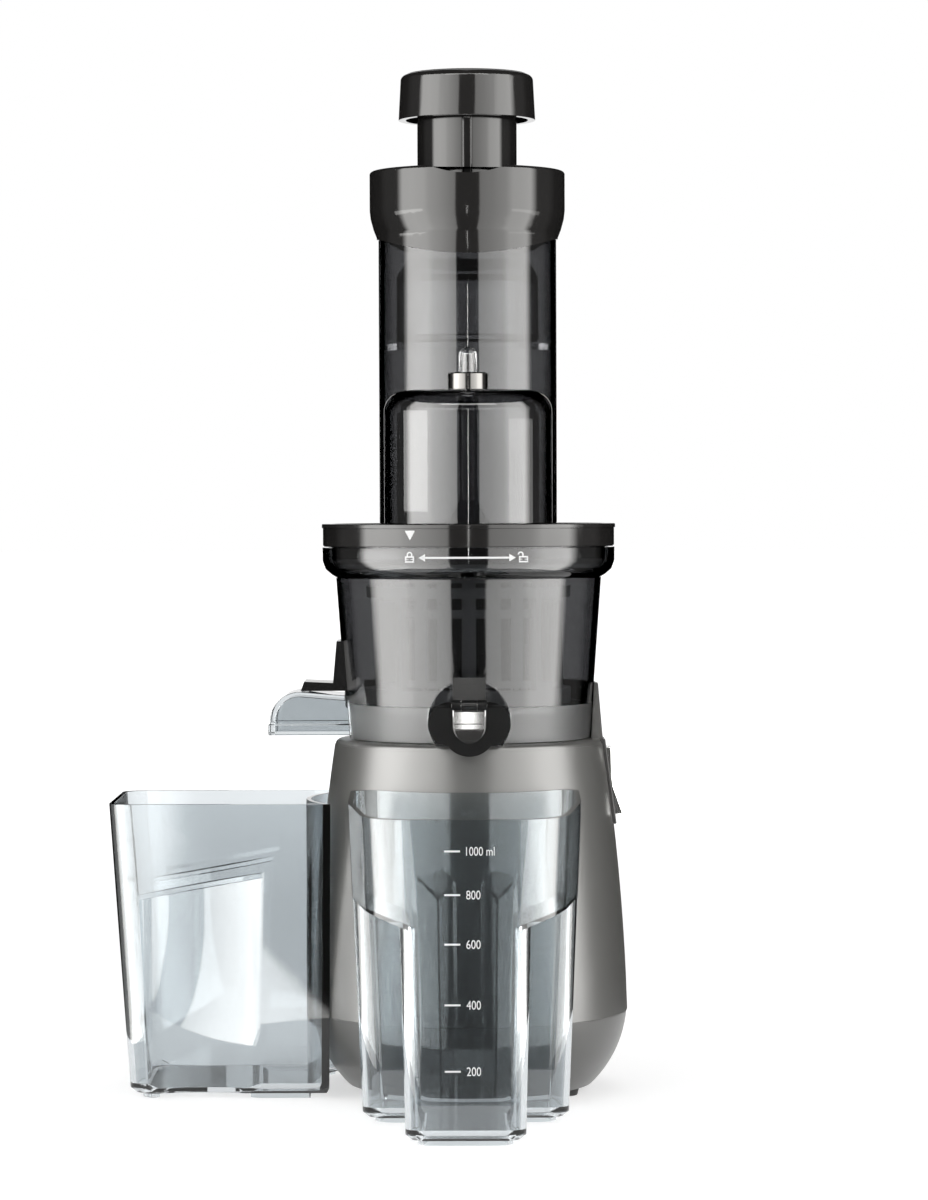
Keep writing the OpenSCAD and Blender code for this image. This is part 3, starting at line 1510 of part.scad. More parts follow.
// Plan of the jug behind its front block, moved in by an inset
module jug_wings_plan(inset, draft) {
  half_w = jug_w / 2 - inset - draft;
  hull() {
    corner_pair(half_w, jug_back_r, -jug_back_y - inset - jug_back_r);
    corner_pair(half_w, jug_wing_r, -jug_wing_front + inset + jug_wing_r);
  }
}

// Plan of the jug's front block, moved in by an inset and widened at its top
module jug_block_plan(inset, front_draft, grow = 0) {
  half_w = jug_block_half_w + grow - inset;
  hull() {
    corner_pair(half_w, jug_block_r, -jug_front + inset + front_draft + jug_block_r);
    translate([-half_w, -jug_wing_front]) square([2 * half_w, 3 * jug_block_r]);
  }
}

// Everything above the jug's two slanted shoulders, raised by an inset
module above_shoulders(inset) {
  difference() {
    translate([-jug_w, -2 * jug_front, 0]) cube([2 * jug_w, 2 * jug_front, 2 * jug_h]);
    for (side = [0, 1]) mirror([side, 0, 0]) intersection() {
      translate([-over, -3 * jug_front, -jug_h]) cube([3 * jug_w, 4 * jug_front, 4 * jug_h]);
      translate([jug_block_half_w, -jug_front, jug_shoulder_z + inset])
        rotate([-jug_shoulder_pitch, -jug_shoulder_roll, 0])
        translate([-jug_w, -jug_front, -2 * jug_h]) cube([3 * jug_w, 3 * jug_front, 2 * jug_h]);
    }
  }
}

// The jug's form with its walls moved in by an inset and its floor raised. Under its shoulders
// it keeps only the wings and the block, each grown by a hair so that no two faces coincide
module jug_form(inset, floor_up) {
  foot_z = tub_foot_h + floor_up;
  block_z = jug_shoulder_z + jug_block_lap;
  top_z = jug_h + 2 * jug_rim_rise;
  grown = inset - snug;
  top_front_draft = jug_front_draft * (top_z - block_z) / (top_z - foot_z);
  difference() {
    intersection() {
      tub_hull(foot_z, top_z) {
        jug_plan(inset, 0, 0);
        jug_plan(inset, jug_draft, jug_front_draft);
        jug_plan(inset + tub_edge, jug_draft, jug_front_draft);
      }
      union() {
        above_shoulders(inset);
        tub_hull(foot_z - snug, top_z + over) {
          jug_wings_plan(grown, 0);
          jug_wings_plan(grown, jug_draft);
          jug_wings_plan(grown + tub_edge, jug_draft);
        }
        tub_hull(foot_z - snug, block_z) {
          jug_block_plan(grown, top_front_draft, jug_block_flare);
          jug_block_plan(grown, jug_front_draft);
          jug_block_plan(grown + tub_edge, jug_front_draft);
        }
      }
    }
    translate([-jug_x, 0, -over]) cylinder(r = tub_curve_r + inset, h = 2 * jug_h);
  }
}

// Plan of the jug's foot, moved in by an inset
module jug_foot_plan(inset) {
  jug_wings_plan(inset, jug_draft);
  jug_block_plan(inset, jug_front_draft);
}

module juice_jug() {
  color(clear_blue) translate([jug_x, 0, 0]) difference() {
    union() {
      jug_form(0, 0);
      difference() {
        linear_extrude(height = tub_foot_h + tub_wall) jug_foot_plan(tub_foot_inset);
        raised(-over, tub_foot_h + over) jug_foot_plan(tub_foot_inset + tub_wall);
        translate([-jug_x, 0, -over]) cylinder(r = tub_curve_r + tub_foot_inset, h = jug_h);
      }
    }
    jug_form(tub_wall, tub_wall);
    translate([-jug_w, -jug_front, jug_h]) rotate([jug_rim_tilt, 0, 0]) translate([0, -jug_front, 0])
      cube([2 * jug_w, 3 * jug_front, jug_h]);
  }
}

// Plan of the bin, moved in by an inset
module bin_plan(inset, draft, side_draft) {
  x0 = -bin_reach + inset + draft;
  x1 = -bin_inner_x - inset;
  y0 = -bin_front + inset + side_draft;
  y1 = bin_d - bin_front - inset - side_draft;
  hull() {
    for (y = [y0 + bin_corner_r, y1 - bin_corner_r]) translate([x0 + bin_corner_r, y])
      circle(r = bin_corner_r, $fn = hull_fn);
    translate([x1 - tub_wall, y0]) square([tub_wall, y1 - y0]);
  }
}

// The bin's form with its walls moved in by an inset and its floor raised
module bin_form(inset, floor_up) {
  mid_y = bin_d / 2 - bin_front;
  difference() {
    tub_hull(tub_foot_h + floor_up, bin_h) {
      bin_plan(inset, 0, 0);
      bin_plan(inset, bin_draft, bin_side_draft);
      bin_plan(inset + tub_edge, bin_draft, bin_side_draft);
    }
    disc(tub_curve_r + inset, -over, 2 * bin_h);
    translate([0, mid_y, 0]) for (side = [0, 1]) mirror([0, side, 0]) intersection() {
      translate([bin_scoop_x, bin_scoop_depth - bin_d / 2 - bin_scoop_r, -over])
        cylinder(r = bin_scoop_r + inset, h = bin_h);
      translate([bin_scoop_x, 0, bin_scoop_z + inset]) rotate([0, -bin_scoop_tilt, 0])
        translate([-bin_reach, -bin_reach, -2 * bin_h]) cube([2 * bin_reach, 2 * bin_reach,
          2 * bin_h]);
    }
  }
}

module pulp_bin() {
  color(clear_blue) difference() {
    union() {
      intersection() {
        bin_form(0, 0);
        translate([-2 * bin_reach, -bin_reach, 0]) cube([2 * bin_reach, 2 * bin_reach, bin_h]);
      }
      difference() {
        linear_extrude(height = tub_foot_h + tub_wall) bin_plan(tub_foot_inset, bin_draft,
          bin_side_draft);
        raised(-over, tub_foot_h + over)
          bin_plan(tub_foot_inset + tub_wall, bin_draft, bin_side_draft);
        disc(tub_curve_r + tub_foot_inset, -over, bin_h);
        translate([0, bin_d / 2 - bin_front, 0]) for (side = [0, 1]) mirror([0, side, 0])
          translate([bin_scoop_x, bin_scoop_depth - bin_d / 2 - bin_scoop_r, -over])
            cylinder(r = bin_scoop_r + tub_foot_inset, h = bin_h);
      }
    }
    bin_form(tub_wall, tub_wall);
  }
}

base_housing();
base_tray();
base_plate();
feet();
base_screws();
drive_seal();
motor_can();
stator();
motor_bracket();
gearbox_case();
gearbox_lid();
gear_pin();
output_bearing();
switch_bezel();
switch_body();
power_board();
cord_gland();
drive_shaft();
output_gear();
compound_gear();
rotor();
motor_pinion();
cooling_fan();
switch_rocker();
juicing_bowl();
bowl_foot_ring();
bowl_seal();
spout_bracket();
cap_hinge_pin();
pulp_chute();
pulp_hood();
pulp_packing();
idler_pin();
strainer_frame();
strainer_mesh();
idler_gear();
wiper_frame();
wiper_blades();
auger();
spout_cap();
spout_seal();
cap_tab();
lid_plate();
hopper();
lid_ring();
lid_gasket();
pivot_boss();
pivot_cap();
pivot_core();
chute_collar();
pusher_cap();
pusher_body();
juice_jug();
pulp_bin();
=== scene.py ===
# Looks of the cold press juicer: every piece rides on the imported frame. Metres, +Z up, the front is -Y.
import json
import math

import bmesh
import bpy
from mathutils import Matrix, Vector
from mathutils.bvhtree import BVHTree


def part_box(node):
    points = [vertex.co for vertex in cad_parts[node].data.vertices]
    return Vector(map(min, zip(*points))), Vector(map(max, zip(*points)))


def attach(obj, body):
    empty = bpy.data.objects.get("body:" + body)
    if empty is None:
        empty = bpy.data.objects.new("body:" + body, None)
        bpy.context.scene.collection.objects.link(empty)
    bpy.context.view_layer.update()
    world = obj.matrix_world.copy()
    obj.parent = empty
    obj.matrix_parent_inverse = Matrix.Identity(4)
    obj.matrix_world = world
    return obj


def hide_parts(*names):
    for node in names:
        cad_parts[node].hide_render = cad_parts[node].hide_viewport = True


bl_info = {
    "name": "Cold press juicer",
    "version": (1, 0, 0),
    "blender": (4, 5, 0),
    "location": "View3D > Sidebar > Juicer",
    "description": "Dresses the pieces of a cold press juicer and sets a plain studio round it",
    "category": "Object",
}

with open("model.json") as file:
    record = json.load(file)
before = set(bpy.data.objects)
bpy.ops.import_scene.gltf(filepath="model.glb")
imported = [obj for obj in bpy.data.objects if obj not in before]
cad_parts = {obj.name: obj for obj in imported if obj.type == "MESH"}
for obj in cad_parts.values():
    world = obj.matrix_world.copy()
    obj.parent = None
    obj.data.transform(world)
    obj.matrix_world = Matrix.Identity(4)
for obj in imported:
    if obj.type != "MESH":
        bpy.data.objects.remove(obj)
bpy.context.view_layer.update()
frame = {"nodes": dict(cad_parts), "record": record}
BODY_OF = {node: body for body, nodes in frame["record"]["behaviour"]["bodies"].items() for node in nodes}
SLOT_OF = {row["node"]: row["material_slot"] for row in frame["record"]["subparts"]}

# Finishes made so far, by name
FINISHES = {}

# Lengths of the smallest features, in metres
MERGE = 2e-6
MM = 0.001
PRINT_LIFT = 0.05 * MM


class JuicerColours(bpy.types.PropertyGroup):
    base: bpy.props.FloatVectorProperty(
        name="Base", description="Satin metallic paint of the base", default=(0.100, 0.099, 0.094),
        subtype="COLOR", min=0, max=1)
    gloss: bpy.props.FloatVectorProperty(
        name="Gloss trim", description="Dark gloss of pusher, collar and lid ring",
        default=(0.019, 0.018, 0.0175), subtype="COLOR", min=0, max=1)
    smoke: bpy.props.FloatVectorProperty(
        name="Smoke", description="What a wall of the bowl or the hopper lets through",
        default=(0.225, 0.228, 0.235), subtype="COLOR", min=0, max=1)
    pale: bpy.props.FloatVectorProperty(
        name="Pale clear", description="What a wall of the jug or the bin lets through",
        default=(0.67, 0.705, 0.725), subtype="COLOR", min=0, max=1)
    mark: bpy.props.FloatVectorProperty(
        name="Marks", description="Printed marks", default=(0.90, 0.90, 0.90),
        subtype="COLOR", min=0, max=1)


class JuicerSizes(bpy.types.PropertyGroup):
    edge: bpy.props.FloatProperty(
        name="Edge", description="Width of the soft edges of moulded pieces", default=0.0004,
        unit="LENGTH", min=0.0001, max=0.002)
    sharp: bpy.props.FloatProperty(
        name="Sharp", description="Angle past which an edge stays an edge", default=math.radians(30),
        subtype="ANGLE", min=0.1, max=1.5)
    wire: bpy.props.FloatProperty(
        name="Strainer wire", description="Thickness of the wires of the strainer mesh", default=0.00026,
        unit="LENGTH", min=0.0001, max=0.0005)
    wire_pitch: bpy.props.FloatProperty(
        name="Wire pitch", description="Distance from wire to wire in the strainer mesh", default=0.001,
        unit="LENGTH", min=0.0005, max=0.004)
    digit_height: bpy.props.FloatProperty(
        name="Digit height", description="Height of the numbers on the jug", default=0.0038,
        unit="LENGTH", min=0.001, max=0.01)


class JuicerStudio(bpy.types.PropertyGroup):
    camera_distance: bpy.props.FloatProperty(
        name="Camera distance", description="From the drive axis to the camera", default=1.88,
        unit="LENGTH", min=0.5, max=5)
    camera_height: bpy.props.FloatProperty(
        name="Camera height", description="Height of the camera above the table", default=0.2766,
        unit="LENGTH", min=0, max=3)
    camera_side: bpy.props.FloatProperty(
        name="Camera side", description="Offset of the camera to the right", default=-0.0022,
        unit="LENGTH", min=-1, max=1)
    camera_roll: bpy.props.FloatProperty(
        name="Camera roll", description="Turn of the camera about its own view line",
        default=math.radians(-0.2), subtype="ANGLE", min=-0.1, max=0.1)
    aim_height: bpy.props.FloatProperty(
        name="Aim height", description="Height that the camera aims at", default=0.230,
        unit="LENGTH", min=0, max=1)
    lens: bpy.props.FloatProperty(
        name="Lens", description="Focal length in millimetres", default=120, min=20, max=300)
    lamps: bpy.props.FloatProperty(
        name="Lamps", description="Power of each side lamp in watts", default=11, min=0, max=200)
    ambient: bpy.props.FloatProperty(
        name="Ambient", description="Level of the plain light from all round", default=0.45, min=0, max=2)
    reflectors: bpy.props.FloatProperty(
        name="Reflectors", description="Brightness of the softbox fronts that gloss shows", default=8.0,
        min=0, max=20)


def settings():
    return bpy.context.scene.juicer_colours, bpy.context.scene.juicer_sizes, bpy.context.scene.juicer_studio


# Node groups shared by several finishes

def new_group(name, inputs, outputs, kind="ShaderNodeTree"):
    group = bpy.data.node_groups.new(name, kind)
    for label, socket_kind, value in inputs:
        socket = group.interface.new_socket(name=label, in_out="INPUT", socket_type=socket_kind)
        if value is not None:
            socket.default_value = value
    for label, socket_kind in outputs:
        group.interface.new_socket(name=label, in_out="OUTPUT", socket_type=socket_kind)
    return group, group.nodes.new("NodeGroupInput"), group.nodes.new("NodeGroupOutput")


def math_node(tree, operation, a, b=None):
    node = tree.nodes.new("ShaderNodeMath")
    node.operation = operation
    for socket, value in zip(node.inputs, (a, b)):
        if value is None:
            continue
        if isinstance(value, (int, float)):
            socket.default_value = value
        else:
            tree.links.new(value, socket)
    return node.outputs[0]


def map_range(tree, value, from_min, from_max, to_min, to_max, smooth=False):
    node = tree.nodes.new("ShaderNodeMapRange")
    if smooth:
        node.interpolation_type = "SMOOTHSTEP"
    tree.links.new(value, node.inputs["Value"])
    ends = {"From Min": from_min, "From Max": from_max, "To Min": to_min, "To Max": to_max}
    for label, number in ends.items():
        node.inputs[label].default_value = number
    return node.outputs["Result"]


def grain_group():
    """Fine moulded or sprayed grain: a height and a mask that change over the surface."""
    name = "moulded_grain"
    if name in bpy.data.node_groups:
        return bpy.data.node_groups[name]
    group, inside, outside = new_group(
        name,
        [("Vector", "NodeSocketVector", (0, 0, 0)), ("Scale", "NodeSocketFloat", 900.0),
         ("Cloud Scale", "NodeSocketFloat", 14.0)],
        [("Height", "NodeSocketFloat"), ("Mask", "NodeSocketFloat")])
    fine = group.nodes.new("ShaderNodeTexNoise")
    fine.inputs["Detail"].default_value = 2.0
    group.links.new(inside.outputs["Vector"], fine.inputs["Vector"])
    group.links.new(inside.outputs["Scale"], fine.inputs["Scale"])
    cloud = group.nodes.new("ShaderNodeTexNoise")
    cloud.inputs["Detail"].default_value = 3.0
    group.links.new(inside.outputs["Vector"], cloud.inputs["Vector"])
    group.links.new(inside.outputs["Cloud Scale"], cloud.inputs["Scale"])
    group.links.new(fine.outputs["Fac"], outside.inputs["Height"])
    half = math_node(group, "MULTIPLY", cloud.outputs["Fac"], 0.6)
    rest = math_node(group, "MULTIPLY", fine.outputs["Fac"], 0.4)
    group.links.new(math_node(group, "ADD", half, rest), outside.inputs["Mask"])
    return group


def brushed_group():
    """Lines of a turned or brushed surface, running round the piece's own axis."""
    name = "brushed_lines"
    if name in bpy.data.node_groups:
        return bpy.data.node_groups[name]
    group, inside, outside = new_group(
        name,
        [("Vector", "NodeSocketVector", (0, 0, 0)), ("Scale", "NodeSocketFloat", 1500.0)],
        [("Height", "NodeSocketFloat"), ("Mask", "NodeSocketFloat")])
    squeeze = group.nodes.new("ShaderNodeMapping")
    squeeze.inputs["Scale"].default_value = (0.02, 0.02, 1.0)
    group.links.new(inside.outputs["Vector"], squeeze.inputs["Vector"])
    lines = group.nodes.new("ShaderNodeTexNoise")
    lines.inputs["Detail"].default_value = 3.0
    group.links.new(squeeze.outputs["Vector"], lines.inputs["Vector"])
    group.links.new(inside.outputs["Scale"], lines.inputs["Scale"])
    group.links.new(lines.outputs["Fac"], outside.inputs["Height"])
    group.links.new(lines.outputs["Fac"], outside.inputs["Mask"])
    return group


def finish(name, colour, rough, metallic=0.0, grain=900.0, depth=0.02, vary=0.06, rough_vary=0.05,
           group=None, ior=1.5, edge_colour=None):
    """A finish whose colour and roughness vary a little with the grain, which also gives the bump.
    With an edge colour, what the wall lets through darkens where it is looked through at a slant."""
    if name in FINISHES:
        return FINISHES[name]
    material = bpy.data.materials.new(name)
    FINISHES[name] = material
    material.use_nodes = True
    tree = material.node_tree
    shader = tree.nodes["Principled BSDF"]
    shader.inputs["Metallic"].default_value = metallic
    shader.inputs["IOR"].default_value = ior
    place = tree.nodes.new("ShaderNodeTexCoord")
    surface = tree.nodes.new("ShaderNodeGroup")
    surface.node_tree = group or grain_group()
    tree.links.new(place.outputs["Object"], surface.inputs["Vector"])
    surface.inputs["Scale"].default_value = grain
    tone = tree.nodes.new("ShaderNodeMix")
    tone.data_type = "RGBA"
    tone.inputs["A"].default_value = (*[c * (1 - vary) for c in colour], 1)
    tone.inputs["B"].default_value = (*[min(c * (1 + vary), 1) for c in colour], 1)
    tree.links.new(surface.outputs["Mask"], tone.inputs["Factor"])
    shown = tone.outputs["Result"]
    if edge_colour:
        slant = tree.nodes.new("ShaderNodeLayerWeight")
        slant.inputs["Blend"].default_value = 0.5
        rim = tree.nodes.new("ShaderNodeMix")
        rim.data_type = "RGBA"
        tree.links.new(map_range(tree, slant.outputs["Facing"], 0.6, 0.97, 0, 1), rim.inputs["Factor"])
        tree.links.new(shown, rim.inputs["A"])
        rim.inputs["B"].default_value = (*edge_colour, 1)
        shown = rim.outputs["Result"]
    tree.links.new(shown, shader.inputs["Base Color"])
    spread = map_range(tree, surface.outputs["Mask"], 0, 1,
                       max(rough - rough_vary, 0.01), min(rough + rough_vary, 1))
    tree.links.new(spread, shader.inputs["Roughness"])
    bump = tree.nodes.new("ShaderNodeBump")
    bump.inputs["Strength"].default_value = depth
    bump.inputs["Distance"].default_value = 0.2 * MM
    tree.links.new(surface.outputs["Height"], bump.inputs["Height"])
    tree.links.new(bump.outputs["Normal"], shader.inputs["Normal"])
    return material


def clear_finish(name, colour, rough, ior=1.5, shade=0.2, grain=60.0, depth=0.01, rough_vary=0.01,
                 edge=0.12):
    """A clear or smoked plastic; its shadow lets most of the light through."""
    if name in FINISHES:
        return FINISHES[name]
    material = finish(name, colour, rough, grain=grain, depth=depth, vary=0.02,
                      rough_vary=rough_vary, ior=ior, edge_colour=[c * edge for c in colour])
    tree = material.node_tree
    shader = tree.nodes["Principled BSDF"]
    shader.inputs["Transmission Weight"].default_value = 1.0
    path = tree.nodes.new("ShaderNodeLightPath")
    held = math_node(tree, "MULTIPLY", path.outputs["Is Shadow Ray"], 1 - shade)
    tree.links.new(math_node(tree, "SUBTRACT", 1.0, held), shader.inputs["Alpha"])
    return material


def base_paint():
    colours, _, _ = settings()
    return finish("satin_base_paint", colours.base, 0.31, grain=2600.0, depth=0.05,
                  vary=0.04, rough_vary=0.04, ior=1.75)


def gloss_trim():
    colours, _, _ = settings()
    return finish("gloss_taupe_trim", colours.gloss, 0.08, grain=300.0, depth=0.003, vary=0.04,
                  rough_vary=0.02)


def black_gloss():
    return finish("black_gloss_plastic", (0.012, 0.012, 0.012), 0.14, grain=400.0, depth=0.01,
                  rough_vary=0.03)


def black_plastic():
    return finish("black_moulded_plastic", (0.014, 0.013, 0.013), 0.36, grain=1400.0, depth=0.05)


def smoke_plastic():
    colours, _, _ = settings()
    return clear_finish("smoked_clear_plastic", colours.smoke, 0.02, ior=1.55, shade=0.45, edge=0.6,
                        depth=0.004)


def pale_plastic():
    colours, _, _ = settings()
    return clear_finish("pale_clear_plastic", colours.pale, 0.02, ior=1.6, shade=0.3, edge=0.45,
                        depth=0.004)


def chute_plastic():
    colours, _, _ = settings()
    return clear_finish("pulp_chute_plastic", [c * 0.87 for c in colours.pale], 0.02, shade=0.2, edge=0.5,
                        depth=0.004)


def plain_clear():
    return clear_finish("clear_plastic", (0.93, 0.93, 0.94), 0.02, shade=0.1, edge=0.4)


def frosted_plastic():
    return clear_finish("frosted_clear_plastic", (0.68, 0.685, 0.69), 0.42, shade=0.5, grain=1500.0,
                        depth=0.2, rough_vary=0.1)


def pusher_clear():
    return clear_finish("pusher_clear_plastic", (0.88, 0.885, 0.89), 0.03, shade=0.2, edge=0.1)


def gloss_tab():
    return finish("gloss_tab", (0.03, 0.029, 0.028), 0.06, grain=500.0, depth=0.004, rough_vary=0.02,
                  ior=2.4)


def dark_chrome():
    return finish("dark_chrome", (0.13, 0.127, 0.123), 0.14, metallic=1.0, grain=500.0, depth=0.004,
                  rough_vary=0.02)


def cap_black():
    return finish("spout_cap_black", (0.010, 0.010, 0.010), 0.26, grain=1400.0, depth=0.03, ior=1.3)


def strainer_wire():
    return finish("strainer_wire", (0.12, 0.12, 0.12), 0.5, metallic=1.0, group=brushed_group(),
                  grain=1500.0, depth=0.02)


def bright_rocker():
    return finish("bright_rocker", (0.80, 0.80, 0.79), 0.1, metallic=1.0, grain=500.0, depth=0.004,
                  rough_vary=0.02)


def steel():
    return finish("brushed_steel", (0.56, 0.56, 0.55), 0.28, metallic=1.0, group=brushed_group(),
                  grain=1500.0, depth=0.04)


def aluminium():
    return finish("cast_aluminium", (0.55, 0.55, 0.54), 0.45, metallic=1.0, grain=700.0, depth=0.12)


def brass():
    return finish("sintered_bronze", (0.50, 0.34, 0.14), 0.35, metallic=1.0, grain=900.0, depth=0.06)


def copper():
    return finish("enamelled_copper", (0.42, 0.17, 0.07), 0.3, metallic=0.9, group=brushed_group(),
                  grain=2600.0, depth=0.2)


def board_mask():
    return finish("board_mask", (0.02, 0.12, 0.05), 0.3, grain=300.0, depth=0.03)


def rubber():
    return finish("black_rubber", (0.02, 0.02, 0.02), 0.62, grain=1100.0, depth=0.12)


def grey_silicone():
    return finish("grey_silicone", (0.12, 0.12, 0.12), 0.5, grain=900.0, depth=0.05)


def white_nylon():
    return finish("white_nylon", (0.62, 0.60, 0.55), 0.4, grain=900.0, depth=0.05)


def strainer_plastic():
    return finish("strainer_plastic", (0.30, 0.31, 0.315), 0.25, grain=900.0, depth=0.03)


def auger_plastic():
    return finish("auger_plastic", (0.050, 0.056, 0.066), 0.18, grain=700.0, depth=0.01)


def white_print():
    colours, _, _ = settings()
    return finish("white_print", colours.mark, 0.45, grain=3000.0, depth=0.02, vary=0.02)


# Meshes

def put(name, mesh, materials, body, slot, *nodes):
    """Links a finished mesh as a piece that rides on a body and, where nodes are given, stands for them."""
    mesh.materials.clear()
    for material in materials:
        mesh.materials.append(material)
    piece = bpy.data.objects.new(name, mesh)
    bpy.context.scene.collection.objects.link(piece)
    if nodes:
        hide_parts(*nodes)
    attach(piece, body)
    return piece


def evaluated_mesh(piece, name):
    depsgraph = bpy.context.evaluated_depsgraph_get()
    mesh = bpy.data.meshes.new_from_object(piece.evaluated_get(depsgraph))
    mesh.name = name
    return mesh


def apply_modifiers(piece):
    """Turns a piece with its modifiers into a plain mesh."""
    mesh = evaluated_mesh(piece, piece.data.name)
    piece.modifiers.clear()
    piece.data = mesh


def smooth_by_angle(work, angle):
    for face in work.faces:
        face.smooth = True
    for edge in work.edges:
        edge.smooth = len(edge.link_faces) == 2 and edge.calc_face_angle(math.pi) < angle


def node_mesh(node):
    """A copy of a CAD node's mesh with its loose triangles merged."""
    mesh = frame["nodes"][node].data.copy()
    work = bmesh.new()
    work.from_mesh(mesh)
    bmesh.ops.remove_doubles(work, verts=work.verts, dist=MERGE)
    bmesh.ops.dissolve_degenerate(work, edges=work.edges, dist=MERGE)
    bmesh.ops.dissolve_limit(work, angle_limit=math.radians(0.25), verts=work.verts, edges=work.edges)
    work.to_mesh(mesh)
    work.free()
    return mesh


def soften(piece, width):
    """Soft edges of a moulded piece, made part of its mesh."""
    _, sizes, _ = settings()
    work = bmesh.new()
    work.from_mesh(piece.data)
    smooth_by_angle(work, sizes.sharp)
    work.to_mesh(piece.data)
    work.free()
    if width > 0:
        bevel = piece.modifiers.new("soft_edges", "BEVEL")
        bevel.width = width
        bevel.segments = 2
        bevel.limit_method = "ANGLE"
        bevel.angle_limit = sizes.sharp
        bevel.miter_outer = "MITER_ARC"
        even = piece.modifiers.new("even_normals", "WEIGHTED_NORMAL")
        even.keep_sharp = True
        even.weight = 50
        apply_modifiers(piece)
    return piece


def dress(node, material, edge=None):
    """A clean, smooth copy of a CAD node with soft edges, which stands for the node."""
    _, sizes, _ = settings()
    mesh = node_mesh(node)
    mesh.name = node + "_mesh"
    piece = put(node + "_shell", mesh, [material], BODY_OF[node], SLOT_OF[node], node)
    return soften(piece, sizes.edge if edge is None else edge)


def dress_all(material, *nodes, edge=None):
    for node in nodes:
        dress(node, material, edge)


def paint_above(piece, height, material):
    """Gives what is above a height of a piece a second finish, with a cut all round there."""
    work = bmesh.new()
    work.from_mesh(piece.data)
    geometry = work.verts[:] + work.edges[:] + work.faces[:]
    bmesh.ops.bisect_plane(work, geom=geometry, plane_co=(0, 0, height), plane_no=(0, 0, 1))
    piece.data.materials.append(material)
    for face in work.faces:
        if face.calc_center_median().z > height:
            face.material_index = 1
    work.to_mesh(piece.data)
    work.free()


# Prints: flat shapes in the plane of x and z, laid on a surface as seen from the front

def bar(x0, z0, x1, z1, step=0.8 * MM):
    """A strip from left to right in short lengths, so that it can follow a curved wall."""
    count = max(1, round(abs(x1 - x0) / step))
    points = []
    quads = []
    for n in range(count + 1):
        x = x0 + (x1 - x0) * n / count
        points += [(x, z0), (x, z1)]
        if n:
            quads.append((2 * n - 2, 2 * n, 2 * n + 1, 2 * n - 1))
    return points, quads


def arc_strip(x, z, inner, outer, start, end, steps=14):
    """Part of a ring round (x, z), with its angles in degrees from the right, anticlockwise."""
    points = []
    quads = []
    for n in range(steps + 1):
        turn = math.radians(start + (end - start) * n / steps)
        points += [(x + r * math.cos(turn), z + r * math.sin(turn)) for r in (inner, outer)]
        if n:
            quads.append((2 * n - 2, 2 * n - 1, 2 * n + 1, 2 * n))
    return points, quads


def closed_shape(corners):
    return list(corners), [tuple(range(len(corners)))]


def rounded(corners, radius, steps=4):
    """The corners of a shape, each turned into a short arc."""
    points = []
    for n, corner in enumerate(corners):
        here = Vector(corner)
        before = (Vector(corners[n - 1]) - here).normalized() * radius
        after = (Vector(corners[(n + 1) % len(corners)]) - here).normalized() * radius
        for k in range(steps + 1):
            share = k / steps
            points.append(tuple(here + before * (1 - share) ** 2 + after * share ** 2))
    return points


def word(text, x, z, width, height):
    """The outline of a word with its lower left corner at (x, z), filled."""
    curve = bpy.data.curves.new("word", "FONT")
    curve.body = text
    sign = bpy.data.objects.new("word", curve)
    bpy.context.scene.collection.objects.link(sign)
    mesh = evaluated_mesh(sign, "word")
    xs = [v.co.x for v in mesh.vertices]
    ys = [v.co.y for v in mesh.vertices]
    points = [(x + (v.co.x - min(xs)) / (max(xs) - min(xs)) * width,
               z + (v.co.y - min(ys)) / (max(ys) - min(ys)) * height) for v in mesh.vertices]
    faces = [tuple(face.vertices) for face in mesh.polygons]
    bpy.data.objects.remove(sign)
    return points, faces


def print_on(name, shapes, carrier, body):
    """Lays flat shapes on the front of a piece as one thin print."""
    surface = carrier.data
    tree = BVHTree.FromPolygons([v.co for v in surface.vertices],
                                [tuple(face.vertices) for face in surface.polygons])
    work = bmesh.new()
    for points, faces in shapes:
        corners = []
        for x, z in points:
            hit, _, _, _ = tree.ray_cast(Vector((x, -1.0, z)), Vector((0, 1, 0)))
            if hit is None:
                raise RuntimeError(f"{name} has a point beside its carrier at {x:.4f}, {z:.4f}")
            corners.append(work.verts.new((x, hit.y - PRINT_LIFT, z)))
        for face in faces:
            made = work.faces.new([corners[n] for n in face])
            made.normal_update()
            if made.normal.y > 0:
                made.normal_flip()
    mesh = bpy.data.meshes.new(name + "_mesh")
    work.to_mesh(mesh)
    work.free()
    return put(name, mesh, [white_print()], body, None)


class JUICER_OT_base(bpy.types.Operator):
    """Housing, tray, bottom plate, feet and screws"""
    bl_idname = "juicer.base"
    bl_label = "Base"

    def execute(self, context):
        dress_all(base_paint(), "base_housing", "base_tray")
        dress_all(black_plastic(), "base_plate")
        dress_all(rubber(), "feet", "cord_gland", "drive_seal")
        dress_all(steel(), "base_screws", edge=0.1 * MM)
        return {"FINISHED"}


class JUICER_OT_drive(bpy.types.Operator):
    """Motor, gearbox and board inside the base"""
    bl_idname = "juicer.drive"
    bl_label = "Drive"

    def execute(self, context):
        dress_all(steel(), "motor_can", "rotor", "motor_pinion", "drive_shaft", "gear_pin", edge=0)
        dress_all(copper(), "stator", edge=0)
        dress_all(aluminium(), "motor_bracket", "gearbox_case", "gearbox_lid", edge=0)
        dress_all(brass(), "output_bearing", edge=0)
        dress_all(white_nylon(), "output_gear", "compound_gear", edge=0)
        dress_all(black_plastic(), "cooling_fan", edge=0)
        dress_all(board_mask(), "power_board", edge=0)
        return {"FINISHED"}


class JUICER_OT_switch(bpy.types.Operator):
    """Power switch on the right side"""
    bl_idname = "juicer.switch"
    bl_label = "Switch"

    def execute(self, context):
        dress_all(black_plastic(), "switch_bezel", "switch_body")
        dress_all(bright_rocker(), "switch_rocker", edge=1.2 * MM)
        return {"FINISHED"}


